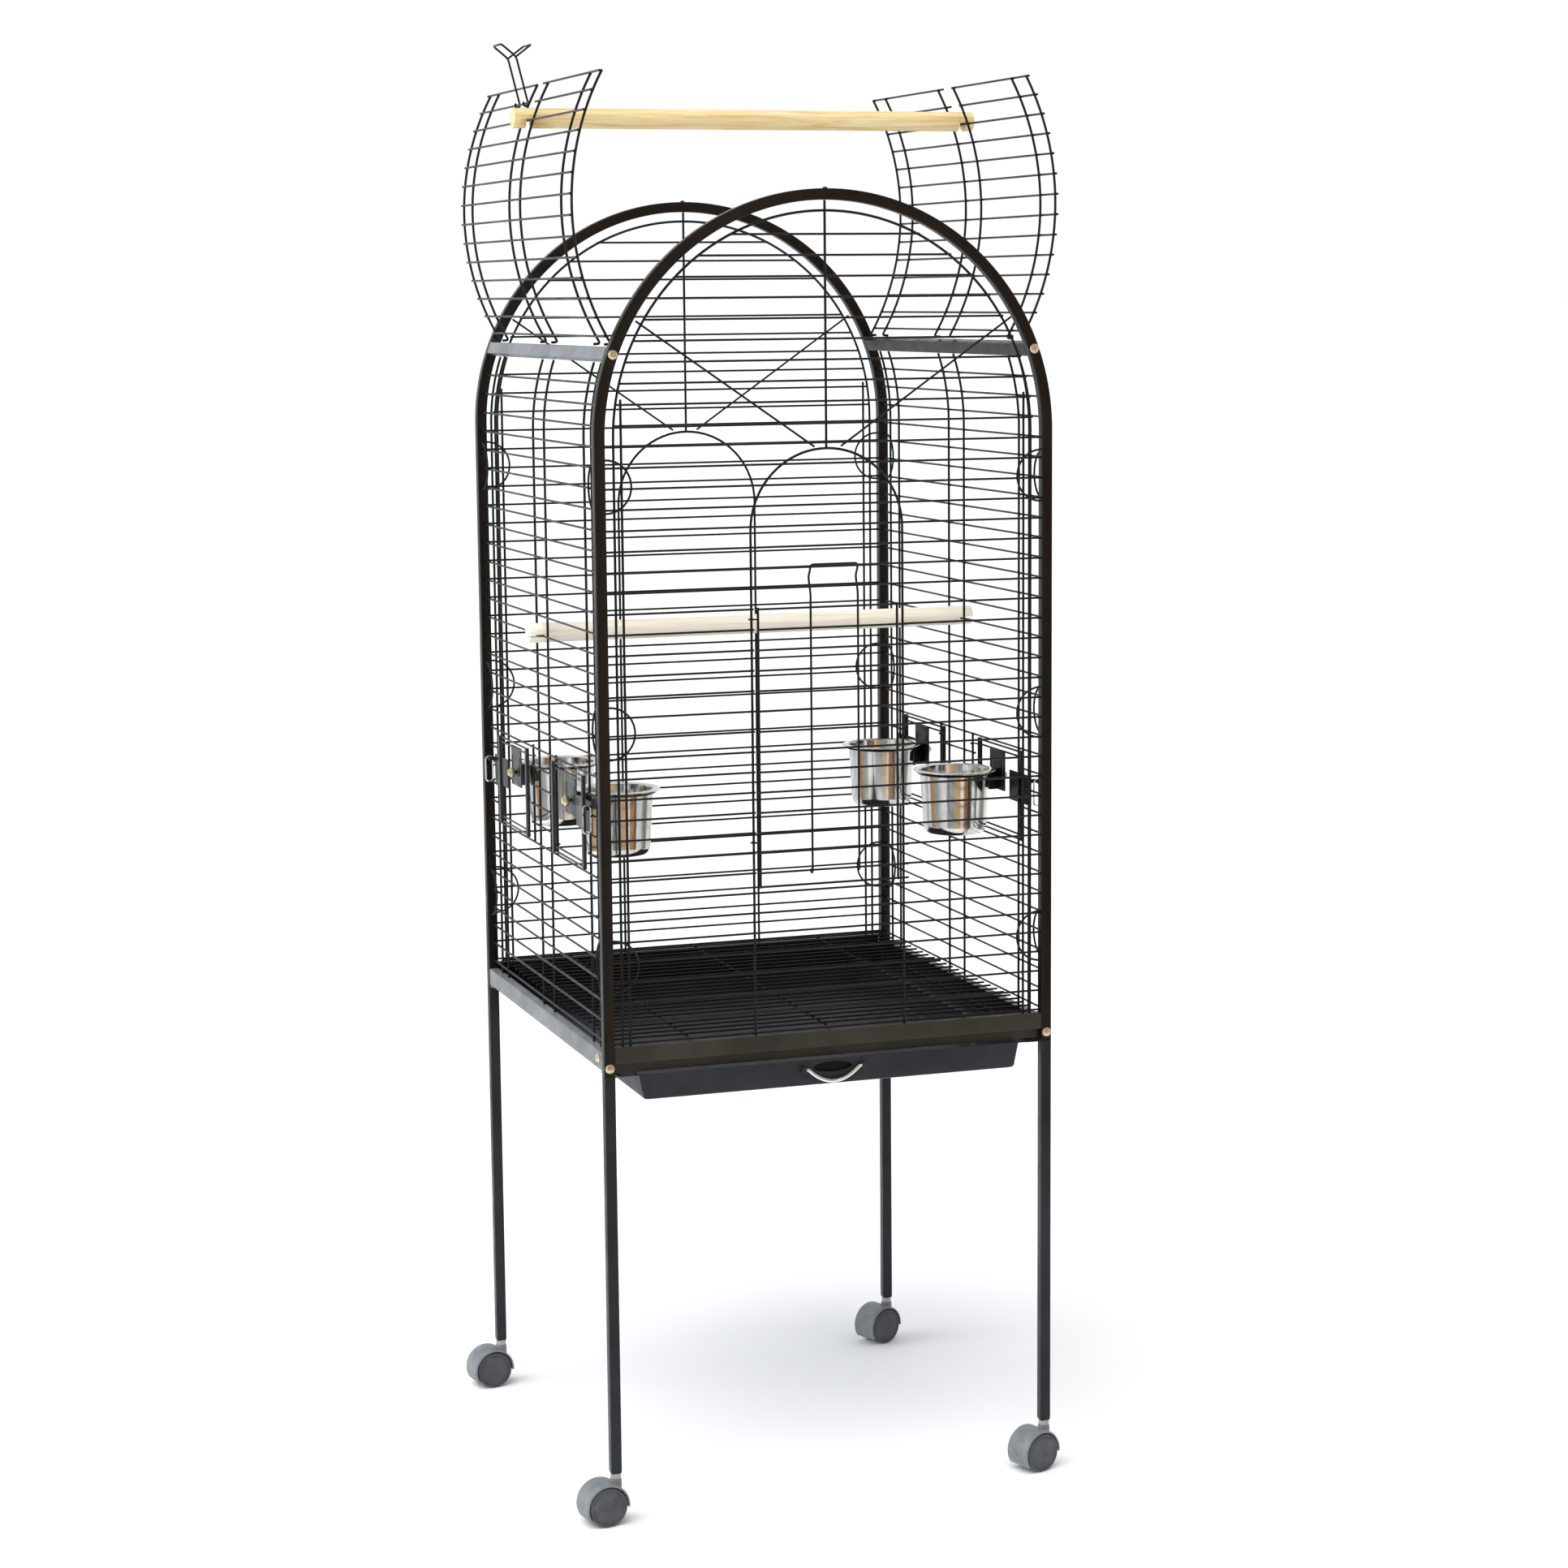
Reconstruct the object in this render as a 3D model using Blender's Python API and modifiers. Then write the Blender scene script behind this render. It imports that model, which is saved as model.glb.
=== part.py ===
"""Bird breeding cage on castors: two arched tube frames, wire panels, two hinged
top flaps, perches, a front door, four feeder doors with cups, a slide-out tray
and four swivel castors.

Metres, +Z up, the front faces -Y.  Each named object is one separate piece.
Angles are in degrees where the name ends in _DEG.
"""
import math

import bmesh
import bpy
from mathutils import Matrix, Vector

# Overall frame
WIDTH = 0.520                   # over the tubes, in X and in Y
TUBE = 0.012                    # square tube of the frames
WALL = 0.001                    # tube wall
AIR = 0.0003                    # gap left between pieces that rest on each other
HALF = WIDTH / 2
POST = HALF - TUBE / 2          # centre line of a corner post
INNER = HALF - TUBE             # inner face of a corner post
BUTT = INNER - AIR              # where a piece butting on a post ends
ARCH_Z = 1.178                  # height of the arch centre
ARCH_STEPS = 22
POST_BOTTOM = 0.4975            # seam between post and leg
NUB_SIZE = 0.005                # weld nub on top of each arch
NUB_HEIGHT = 0.002

# Upper rails between the arches
UPPER_DEG = 20.4                # where the rail sits on the arch
UPPER_TALL = 0.014
UPPER_SHY_DEG = 0.2             # a side bar ends this far short of the rail
UPPER_X = POST * math.cos(math.radians(UPPER_DEG))
UPPER_Z = ARCH_Z + POST * math.sin(math.radians(UPPER_DEG))
PLUG = 0.010                    # solid end of a rail that takes a bolt

# Lower rails
RAIL_TOP = 0.529
RAIL_STEP = 0.511
RAIL_BOTTOM = 0.4995
SIDE_TOP = 0.522                # the side rails are lower bands
SIDE_STEP = 0.502
RAIL_SHY = 0.0006
RAIL_FACE = HALF - RAIL_SHY     # outer face of the upper band
RAIL_BACK = HALF - 0.0100       # outer face of the set-back band
RAIL_INSIDE = INNER + RAIL_SHY  # inner edge of the top flange
SHEET = 0.0012
LEDGE_Z = 0.4950                # top of the ledge the tray runs on
LEDGE_IN = 0.0140               # how far the ledge reaches inward
BLOCK_DEPTH = 0.006             # end block of a side rail
BLOCK_TALL = 0.016

# Bolts
BOLT_Z = 0.507
SIDE_BOLT_Z = 0.5145
SIDE_BOLT_Y = INNER - 0.014
BOLT_HEAD_R = 0.0055
BOLT_HEAD_H = 0.0032
BOLT_R = 0.0020
BOLT_RIM = 0.0006                # straight edge under the dome
BOLT_CROWN = (0.62, 0.80)        # shares of radius and height on the dome
BOLT_STEPS = 8
BOLT_SHANK = 0.0200
SIDE_SHANK = 0.0050
HOLE_R = 0.0027                 # six-sided clearance hole
HOLE_SIDES = 6

# Legs and castors
LEG_BOTTOM = 0.055
SPIGOT = 0.0092                 # reduced end that slides up inside the post
SPIGOT_TALL = 0.022
LEG_PLUG = 0.016
WHEEL_R = 0.022
WHEEL_STEPS = 16
WHEEL_WIDE = 0.0140
WHEEL_EDGE = 0.0020
WEB = 0.0060
HOOD_GAP = 0.0009
HOOD_R = 0.0254
HOOD_HALF = 0.0178
WEB_LOW_R = 0.0150
AXLE_R = 0.0030
AXLE_HOLE_R = 0.0042
TRAIL = 0.015                   # wheel centre behind the swivel axis
COLLAR_R = 0.0068
STEM_R = 0.0040
STEM_TOP = 0.085
STEM_SIDES = 8
STEM_ROOT = 0.002                # how far stem and collar run into each other
COLLAR_RISE = 0.006              # collar starts this far above the axle
COLLAR_SIDES = 10
HOOD_FROM_DEG = -5.0
HOOD_TO_DEG = 213.0
HOOD_STEPS = 14
WEB_STEPS = 5
SWIVEL_DEG = {"front_left": 7.0, "front_right": 18.0, "rear_left": 8.0, "rear_right": 22.0}

# Wire panels
ROW_R = 0.0012
BAR_R = 0.00145
LAP = 0.0021                    # plane offset at which row and bar are welded
CLEAR = 0.0029                  # plane offset at which they just pass
ROW_PITCH = 0.022
ROW_FIRST = 0.5323
SIDE_ROW = INNER + 0.0052       # plane of the side rows
FRONT_ROW = INNER + 0.0065      # plane of the front and rear rows
EDGE_R = INNER - 0.0110         # wire that follows the arch inside the tube
EXTRA_X = EDGE_R - 0.0084
EXTRA_TOP = 1.220
OUTLINE_X = 0.0865              # door-shaped outline wire
OUTLINE_SPRING = 1.0775
OUTLINE_STEPS = 10
EDGE_STEPS = 16
ROW_OVER = 0.0018               # a row runs this far past the wire it ends on
DIAGONAL_LOW = (0.0150, ARCH_Z - 0.0120)
DIAGONAL_HIGH = (round(EDGE_R * 0.8945, 4), round(ARCH_Z + EDGE_R * 0.5190, 4))
LOOP_R = 0.028
LOOP_STEPS = 6
LOOP_SHY = 0.0004               # the slanted end of a loop stays off the post
LOOP_Z = (0.617, 0.868, 1.129)
UNDER_RAIL = 0.005              # least height between the last side row and the upper rail
ROWS_STRAIGHT = 30              # rows below the arch centre
CROWN_GAP = 0.012               # least height left over the last row
ROWS_ARCH = 1 + int((EDGE_R - CROWN_GAP - (ROW_FIRST + ROWS_STRAIGHT * ROW_PITCH - ARCH_Z)) / ROW_PITCH)
SIDE_ROWS = 1 + int((UPPER_Z - UPPER_TALL / 2 - UNDER_RAIL - ROW_FIRST) / ROW_PITCH)
BEND_STEPS = 3                  # steps of a side bar above the arch centre
BAR_BITE = 1.5                  # radii by which the centre bar stands above the outline
JOG_END = 0.006                 # height of the centre bar's last step
JOG = 0.018                     # height over which a bar moves from LAP to CLEAR

# Feeder openings in the side panels
FEED_LOW = 8                    # rows that bound the opening
FEED_HIGH = 13
FEED_HINGE = 0.050
JAMB = INNER - 0.061
SIDE_OUTER = INNER - 0.032
MIDDLE = 0.0235                 # half the spacing of the middle pair

# Front door
DOOR_LOW = 8
DOOR_HIGH = 21
DOOR_ROW = FRONT_ROW + 0.0028
DOOR_LEFT = OUTLINE_X - 0.0065
DOOR_RIGHT = OUTLINE_X - 0.0075
DOOR_LAP = OUTLINE_X + 0.0040
DOOR_BOTTOM = 0.693
DOOR_OVER = ROW_OVER * 0.8       # a row of the door runs this far past its left bar
LATCH_CURL_DEG = (-20, 30, 90, 135)
EYE_R = 0.0027
EYE_WIRE = 0.0009
EYE_FROM_DEG = 85.0
EYE_TO_DEG = 345.0
EYE_STEPS = 6
LATCH_R = 0.0013
LATCH_X = (-0.022, 0.032)
LATCH_BAR_Z = 1.0405
LATCH_KINK = ((1.0090, 0.0), (1.0270, 0.0068), (1.0345, 0.0012))    # height, push inward

# Top flaps
FLAP_X = round(UPPER_X - 0.0046, 4)      # hinge line
FLAP_Z = round(UPPER_Z + 0.0105, 4)
FLAP_TIP_X = FLAP_X + 0.0058
FLAP_TIP_Z = FLAP_Z + 0.2810
FLAP_R = 0.285
FLAP_STEPS = 9
FLAP_SAG = 0.0004               # chord of a bar step inside its arc
FLAP_PITCH = 0.0218             # between the rows
FLAP_TOE_GAP = 0.005            # least length left under the lowest row
FLAP_EDGES = (INNER - 0.012, INNER - 0.053)
FLAP_KNEE_DEG = 0.6             # short first step after the bent foot
FLAP_FOOT = 0.0065
FLAP_FOOT_DROP = 0.0024
FLAP_CUT = 0.0135               # half gap in the two end rows for the perch
FLAP_CUT_ROWS = 2
SEAT_ROW = 2                    # counted from the tip, starting at 0

# Perches
PERCH_R = 0.011
PERCH_STEPS = 14
INNER_PERCH_Z = 0.953
INNER_PERCH_X = SIDE_ROW + 0.0148
SLIT_ROW = 19
SLIT_DEEP = 0.0165
TOP_PERCH_LEFT = FLAP_TIP_X + 0.0347
TOP_PERCH_RIGHT = FLAP_TIP_X + 0.0307
SEAT_DROP = 0.003               # seat wire below the perch axis
NOTCH_INSIDE = 0.0064

# Top latch on the left flap
TOP_LATCH_Y = (0.0285, 0.0645)
TOP_LATCH_R = 0.0012
TOP_LATCH_INNER_R = TOP_LATCH_R * 0.9
TOP_LATCH_CURL_DEG = (0, 60, 120, 180, 240)
TOP_LATCH_LEAN_DEG = 14.0
TOP_LATCH_TALL = 0.052
TOP_LATCH_OUT = FLAP_TIP_X + 0.0377
TOP_LATCH_IN = FLAP_TIP_X + 0.0037
TOP_LATCH_HEAD = FLAP_TIP_Z + 0.0460
TOP_LATCH_EYE = ROW_R + TOP_LATCH_R + AIR

# Floor grate
GRATE_WIRES = 25
GRATE_HALF_X = INNER - 0.0030
GRATE_HALF_Y = INNER - 0.0120
GRATE_CROSS = (-0.160, 0.160)
GRATE_JOG = 0.012
GRATE_CROSS_Y = INNER + 0.0023

# Tray
TRAY_TOP = 0.4975
TRAY_BOTTOM = 0.469
TRAY_X = INNER - 0.0265
TRAY_TAPER = 0.006
TRAY_FRONT = HALF - 0.0015
TRAY_REAR = INNER - 0.0120
TRAY_WALL = 0.0010
LIP_X = INNER - 0.0080
LIP_ROOT = 0.002                 # flange and tray wall run into each other
LIP_FRONT_IN = 0.006
LIP_REAR_IN = 0.001
HANDLE_X = 0.032
HANDLE_Z = 0.488
HANDLE_LOW = 0.4735
HANDLE_R = 0.0022
HANDLE_STEPS = 8
HANDLE_PIN_SHY = 0.0005          # bail ends stop this far inside the lugs
HANDLE_SAG_POWER = 2.0
LUG_W = 0.005
LUG_D = 0.0080
LUG_H = 0.0080
LUG_OUT = 0.0042
LUG_HOLE_R = 0.0029

# Feeder doors, cups and holders (distances along the door are from its hinge)
LEAF_X = SIDE_ROW + 0.0024
LEAF_THICK = 0.0016
LEAF_BAR = 0.0060
LEAF_BAR_DEEP = 0.0040
LEAF_LOW = 0.7120
LEAF_HIGH = 0.8150
LEAF_NEAR = 0.0075
LEAF_FAR = JAMB - FEED_HINGE - 0.0050
LEAF_WIRES = (0.7135, 0.7190, 0.8080, 0.8135)
END_PLATE_LOW = 0.7555
END_PLATE_HIGH = 0.7895
LUG_PIN_X = LEAF_X + 0.0069
LUG_PIN_Z = 0.7840
LUG_PIN_R = 0.0010
LUG_PIN_LONG = 0.0075
LUG_PIN_THICK = 0.0030
LUG_PIN_HEAD = 0.0022
LUG_PIN_CAP = 0.0015
PIN_SIDES = 4
BAIL_ASIDE = 0.0008              # bail hangs this far off the middle of its pin
BAIL_STEPS = 4
BAIL_WIRE = 0.0010
BAIL_HALF = 0.0044
BAIL_LONG = 0.030
CUP_ALONG = LEAF_FAR / 2 + 0.003
CUP_X = SIDE_ROW - 0.0527
CUP_RIM_R = 0.0475
CUP_BODY_R = 0.0395
CUP_FOOT_R = 0.0360
CUP_TOP = 0.7900
CUP_BOTTOM = 0.7160
CUP_WALL = 0.0010
CUP_STEPS = 16
CUP_RIM_TALL = 0.0022
CUP_LIP_ROUND = 0.0012
CUP_ROUND = 0.008                # rounding between wall and bottom
PLATE_HALF = 0.022
END_PLATE = (CUP_ALONG + PLATE_HALF + 0.009, LEAF_FAR + 0.029)
PLATE_LOW = 0.7630
PLATE_HIGH = 0.8092
PLATE_THICK = 0.0014
RING_WIRE = 0.0015
RING_STEPS = 14
RING_R = (CUP_BODY_R + RING_WIRE + AIR) / math.cos(math.pi / RING_STEPS)
ARM_HALF = 0.0016                # the arm is an upright web beside the cup
ARM_TALL = 0.0240
SCREW_Z = 0.779
SCREW_R = 0.0060
SCREW_LONG = 0.0075
SCREW_PIN_R = 0.0022
SCREW_PIN_SIDES = 6
SCREW_SIDES = 8
SCREW_ROOT = 0.0010              # the pin runs this far into its knob

MERGE = 0.00001


def clear_scene():
    """Remove whatever the open file holds."""
    for item in list(bpy.data.objects):
        bpy.data.objects.remove(item, do_unlink=True)
    for block in (bpy.data.meshes, bpy.data.curves, bpy.data.materials):
        for item in list(block):
            block.remove(item)
    for item in list(bpy.data.collections):
        bpy.data.collections.remove(item)


clear_scene()
CAGE = bpy.data.collections.new("bird_breeding_cage")
bpy.context.scene.collection.children.link(CAGE)
CUTTERS = bpy.data.collections.new("cutters")
bpy.context.scene.collection.children.link(CUTTERS)
CUTTERS.hide_render = True

ROOT = bpy.data.objects.new("cage_origin", None)
ROOT.empty_display_size = 0.1
CAGE.objects.link(ROOT)


def material(name, colour, roughness, metallic):
    """A Principled material from an sRGB hex colour."""
    made = bpy.data.materials.new(name)
    made.use_nodes = True
    shader = made.node_tree.nodes["Principled BSDF"]
    linear = []
    for place in (1, 3, 5):
        value = int(colour[place:place + 2], 16) / 255
        linear.append(value / 12.92 if value <= 0.04045 else ((value + 0.055) / 1.055) ** 2.4)
    shader.inputs["Base Color"].default_value = (*linear, 1.0)
    shader.inputs["Roughness"].default_value = roughness
    shader.inputs["Metallic"].default_value = metallic
    made.diffuse_color = (*linear, 1.0)
    return made


TUBE_PAINT = ("#2e2823", 0.40, 0.0)
RAIL_PAINT = ("#45433a", 0.42, 0.0)
SIDE_PAINT = ("#7d7f82", 0.40, 0.0)
WIRE_PAINT = ("#2a2a2c", 0.38, 0.0)
LEG_PAINT = ("#2f3134", 0.40, 0.0)
BRASS = ("#d9b878", 0.28, 1.0)
STEEL = ("#c9c9c6", 0.16, 1.0)
CHROME = ("#d8d9dc", 0.10, 1.0)
WOOD = ("#e6ce96", 0.62, 0.0)
PALE_WOOD = ("#e9dcb8", 0.62, 0.0)
TRAY_PAINT = ("#383b40", 0.45, 0.0)
HOOD_PLASTIC = ("#7c8084", 0.42, 0.0)
WHEEL_PLASTIC = ("#55555a", 0.45, 0.0)
PLATE_PAINT = ("#1f2022", 0.42, 0.0)


def as_mesh(source):
    """The evaluated shape of an object as a new mesh in world space."""
    graph = bpy.context.evaluated_depsgraph_get()
    mesh = bpy.data.meshes.new_from_object(source.evaluated_get(graph))
    mesh.transform(source.matrix_world)
    return mesh


def tidy(mesh):
    """Weld the caps and point every face outward."""
    shape = bmesh.new()
    shape.from_mesh(mesh)
    bmesh.ops.remove_doubles(shape, verts=shape.verts, dist=MERGE)
    bmesh.ops.recalc_face_normals(shape, faces=shape.faces)
    shape.to_mesh(mesh)
    shape.free()
    return mesh


def loose(mesh, name="shape"):
    """A scratch object that holds a mesh in world space."""
    thing = bpy.data.objects.new(name, mesh)
    CAGE.objects.link(thing)
    return thing


def wires(paths, radius, closed=False):
    """Four-sided wires along the given paths, as one scratch object."""
    curve = bpy.data.curves.new("wires", "CURVE")
    curve.dimensions = "3D"
    curve.bevel_depth = radius
    curve.bevel_resolution = 0
    curve.use_fill_caps = True
    for path in paths:
        spline = curve.splines.new("POLY")
        spline.points.add(len(path) - 1)
        for point, place in zip(spline.points, path):
            point.co = (place[0], place[1], place[2], 1.0)
        spline.use_cyclic_u = closed
    carrier = loose(curve)
    bpy.context.view_layer.update()
    mesh = tidy(as_mesh(carrier))
    bpy.data.objects.remove(carrier, do_unlink=True)
    return loose(mesh)


def square_tube(path, size, wall):
    """A square tube, open at both ends, along a path in a plane of constant Y."""
    curve = bpy.data.curves.new("tube", "CURVE")
    curve.dimensions = "3D"
    curve.bevel_depth = size / 2 * math.sqrt(2)
    curve.bevel_resolution = 0
    curve.use_fill_caps = False
    spline = curve.splines.new("POLY")
    spline.points.add(len(path) - 1)
    for point, place in zip(spline.points, path):
        point.co = (place[0], place[1], place[2], 1.0)
        point.tilt = math.radians(45)
    carrier = loose(curve)
    bpy.context.view_layer.update()
    mesh = tidy(as_mesh(carrier))
    bpy.data.objects.remove(carrier, do_unlink=True)
    shell = loose(mesh)
    thick = shell.modifiers.new("wall", "SOLIDIFY")
    thick.thickness = wall
    thick.offset = -1
    thick.use_even_offset = True
    return settle(shell)


def settle(thing):
    """Apply the modifiers of a scratch object."""
    bpy.context.view_layer.update()
    mesh = as_mesh(thing)
    thing.modifiers.clear()
    thing.data = mesh
    thing.matrix_world = Matrix.Identity(4)
    return thing


def combine(base, tool, operation="UNION", self_touch=False):
    """Apply one exact Boolean to a scratch object and use up the tool."""
    step = base.modifiers.new(operation.lower(), "BOOLEAN")
    step.operation = operation
    step.solver = "EXACT"
    step.use_self = self_touch
    step.object = tool
    settle(base)
    bpy.data.objects.remove(tool, do_unlink=True)
    return base


def united(things):
    """Union of several scratch objects."""
    base = things[0]
    for tool in things[1:]:
        combine(base, tool)
    return base


def gathered(things):
    """Scratch objects that don't touch, joined into one mesh."""
    shape = bmesh.new()
    for thing in things:
        shape.from_mesh(thing.data)
        bpy.data.objects.remove(thing, do_unlink=True)
    mesh = bpy.data.meshes.new("shape")
    shape.to_mesh(mesh)
    shape.free()
    return loose(mesh)


def box(low, high):
    """A box between two corners."""
    shape = bmesh.new()
    bmesh.ops.create_cube(shape, size=1.0)
    low, high = Vector(low), Vector(high)
    spread = [abs(high[i] - low[i]) for i in range(3)]
    bmesh.ops.scale(shape, vec=spread, verts=shape.verts)
    bmesh.ops.translate(shape, vec=(low + high) / 2, verts=shape.verts)
    mesh = bpy.data.meshes.new("box")
    shape.to_mesh(mesh)
    shape.free()
    return loose(mesh)


def rod(centre, axis, radius, length, sides, turn=0.0):
    """A prism of the given number of sides, centred on a point."""
    shape = bmesh.new()
    bmesh.ops.create_cone(shape, cap_ends=True, segments=sides, radius1=radius, radius2=radius,
                          depth=length)
    facing = Vector((0, 0, 1)).rotation_difference(Vector(axis)).to_matrix().to_4x4()
    place = Matrix.Translation(centre) @ facing @ Matrix.Rotation(turn, 4, "Z")
    bmesh.ops.transform(shape, matrix=place, verts=shape.verts)
    mesh = bpy.data.meshes.new("rod")
    shape.to_mesh(mesh)
    shape.free()
    return loose(mesh)


def turned(profile, steps, place):
    """A turned shape: the profile (radius, height) runs from top to bottom."""
    mesh = bpy.data.meshes.new("turned")
    points = [(radius, 0.0, height) for radius, height in profile]
    edges = [(i, i + 1) for i in range(len(points) - 1)]
    mesh.from_pydata(points, edges, [])
    thing = loose(mesh)
    screw = thing.modifiers.new("turn", "SCREW")
    screw.steps = steps
    screw.render_steps = steps
    screw.use_merge_vertices = True
    screw.merge_threshold = MERGE
    screw.use_smooth_shade = False
    settle(thing)
    tidy(thing.data)
    thing.data.transform(place)
    return thing


def plate(outline, depth, place):
    """A flat outline in local XY, extruded to a depth along local Z."""
    curve = bpy.data.curves.new("plate", "CURVE")
    curve.dimensions = "2D"
    curve.fill_mode = "BOTH"
    curve.extrude = depth / 2
    spline = curve.splines.new("POLY")
    spline.points.add(len(outline) - 1)
    for point, spot in zip(spline.points, outline):
        point.co = (spot[0], spot[1], 0.0, 1.0)
    spline.use_cyclic_u = True
    carrier = loose(curve)
    bpy.context.view_layer.update()
    mesh = tidy(as_mesh(carrier))
    bpy.data.objects.remove(carrier, do_unlink=True)
    mesh.transform(place)
    return loose(mesh)


def arc(centre, radius, start_deg, end_deg, steps):
    """Points on an arc in a plane, as pairs."""
    points = []
    for i in range(steps + 1):
        angle = math.radians(start_deg + (end_deg - start_deg) * i / steps)
        points.append((centre[0] + radius * math.cos(angle), centre[1] + radius * math.sin(angle)))
    return points


def finish(thing, name, paint, pivot=(0.0, 0.0, 0.0), parent=None, smooth=None):
    """Name a piece, paint it, and put its origin on its joint or at the root."""
    thing.name = name
    thing.data.name = name
    thing.data.transform(Matrix.Translation(-Vector(pivot)))
    thing.location = pivot
    thing.parent = parent or ROOT
    if parent is not None:
        thing.location = Vector(pivot) - WORLD[parent.name]
    WORLD[name] = Vector(pivot)
    thing.data.materials.clear()
    thing.data.materials.append(material(name, *paint))
    if smooth:
        for face in thing.data.polygons:
            face.use_smooth = True
        thing.data.set_sharp_from_angle(angle=math.radians(smooth))
    return thing


WORLD = {ROOT.name: Vector((0, 0, 0))}


def bored(thing, name, tools):
    """Cut live bolt holes in a finished piece with a named cutter."""
    cutter = gathered(tools)
    cutter.name = name
    cutter.data.name = name
    CAGE.objects.unlink(cutter)
    CUTTERS.objects.link(cutter)
    cutter.hide_render = True
    cutter.display_type = "WIRE"
    cutter.parent = ROOT
    step = thing.modifiers.new("bolt_holes", "BOOLEAN")
    step.operation = "DIFFERENCE"
    step.solver = "EXACT"
    step.object = cutter
    return thing


def row_z(index):
    """Height of a row of the panels."""
    return ROW_FIRST + index * ROW_PITCH


def upper_seat(side, along):
    """A point on the arch centre line at the upper rail."""
    angle = math.radians(UPPER_DEG)
    return (side * POST * math.cos(angle), along, ARCH_Z + POST * math.sin(angle))


ENDS = (("front", -1), ("rear", 1))
SIDES = (("left", -1), ("right", 1))


def arch_frame(name, end):
    """Two posts and the arch over them in one bent square tube."""
    y = end * POST
    path = [(-POST, y, POST_BOTTOM)]
    for x, z in arc((0, ARCH_Z), POST, 180, 0, ARCH_STEPS):
        path.append((x, y, z))
    path.append((POST, y, POST_BOTTOM))
    frame = square_tube(path, TUBE, WALL)
    top = ARCH_Z + HALF
    nub = box((-NUB_SIZE / 2, y - NUB_SIZE / 2, top - WALL), (NUB_SIZE / 2, y + NUB_SIZE / 2, top + NUB_HEIGHT))
    combine(frame, nub)
    finish(frame, name, TUBE_PAINT)
    tools = []
    for side in (-1, 1):
        tools.append(rod((side * POST, y, BOLT_Z), (0, 1, 0), HOLE_R, TUBE * 2, HOLE_SIDES))
        tools.append(rod(upper_seat(side, y), (0, 1, 0), HOLE_R, TUBE * 2, HOLE_SIDES))
    bored(frame, name + "_holes", tools)
    return frame


def upper_rail(name, side):
    """Square tube between the arches with solid bored ends."""
    seat = Vector(upper_seat(side, 0))
    turn = Matrix.Rotation(-side * math.radians(UPPER_DEG), 4, "Y")
    place = Matrix.Translation(seat) @ turn
    rail = box((-TUBE / 2, -BUTT, -UPPER_TALL / 2), (TUBE / 2, BUTT, UPPER_TALL / 2))
    cavity = box((-TUBE / 2 + WALL, -BUTT + PLUG, -UPPER_TALL / 2 + WALL),
                 (TUBE / 2 - WALL, BUTT - PLUG, UPPER_TALL / 2 - WALL))
    bore = rod((0, 0, 0), (0, 1, 0), HOLE_R, WIDTH, HOLE_SIDES)
    combine(cavity, bore)
    combine(rail, cavity, "DIFFERENCE")
    rail.data.transform(place)
    return finish(rail, name, TUBE_PAINT if side > 0 else SIDE_PAINT)


def end_rail(name, end, bottom):
    """Formed rail across the front or rear: a face band and a set-back band."""
    face = RAIL_FACE
    back = RAIL_BACK
    outline = [
        (RAIL_INSIDE, RAIL_TOP), (face, RAIL_TOP), (face, RAIL_STEP),
        (back, RAIL_STEP), (back, bottom), (back - SHEET, bottom),
        (back - SHEET, RAIL_STEP + SHEET), (face - SHEET, RAIL_STEP + SHEET),
        (face - SHEET, RAIL_TOP - SHEET), (RAIL_INSIDE, RAIL_TOP - SHEET),
    ]
    turn = Matrix(((0, 0, 1, 0), (end, 0, 0, 0), (0, 1, 0, 0), (0, 0, 0, 1)))
    rail = plate(outline, BUTT * 2, turn)
    tidy(rail.data)
    return finish(rail, name, RAIL_PAINT if end < 0 else TUBE_PAINT)


def side_rail(name, side):
    """Formed side rail with the ledge the tray runs on and bored end blocks."""
    face = RAIL_FACE
    back = RAIL_BACK
    tip = INNER - LEDGE_IN
    outline = [
        (RAIL_INSIDE, SIDE_TOP), (face, SIDE_TOP), (face, SIDE_STEP), (back, SIDE_STEP),
        (back, LEDGE_Z - SHEET), (tip, LEDGE_Z - SHEET), (tip, LEDGE_Z),
        (back - SHEET, LEDGE_Z), (back - SHEET, SIDE_STEP + SHEET),
        (face - SHEET, SIDE_STEP + SHEET), (face - SHEET, SIDE_TOP - SHEET),
        (RAIL_INSIDE, SIDE_TOP - SHEET),
    ]
    turn = Matrix(((side, 0, 0, 0), (0, 0, 1, 0), (0, 1, 0, 0), (0, 0, 0, 1)))
    rail = plate(outline, BUTT * 2, turn)
    tidy(rail.data)
    for end in (-1, 1):
        near = BUTT - BLOCK_DEPTH
        low = (side * RAIL_INSIDE, end * near, BOLT_Z - BLOCK_TALL / 2)
        high = (side * (face - SHEET / 2), end * BUTT, BOLT_Z + BLOCK_TALL / 2)
        block = box([min(low[i], high[i]) for i in range(3)], [max(low[i], high[i]) for i in range(3)])
        combine(rail, block)
    finish(rail, name, SIDE_PAINT if side < 0 else TUBE_PAINT)
    tools = [rod((side * POST, end * (BUTT - BLOCK_DEPTH / 2), BOLT_Z), (0, 1, 0), HOLE_R,
                 BLOCK_DEPTH * 2, HOLE_SIDES) for end in (-1, 1)]
    tools.append(rod((side * face, -SIDE_BOLT_Y, SIDE_BOLT_Z), (1, 0, 0), HOLE_R, SHEET * 3, HOLE_SIDES))
    return bored(rail, name + "_holes", tools)


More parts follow.
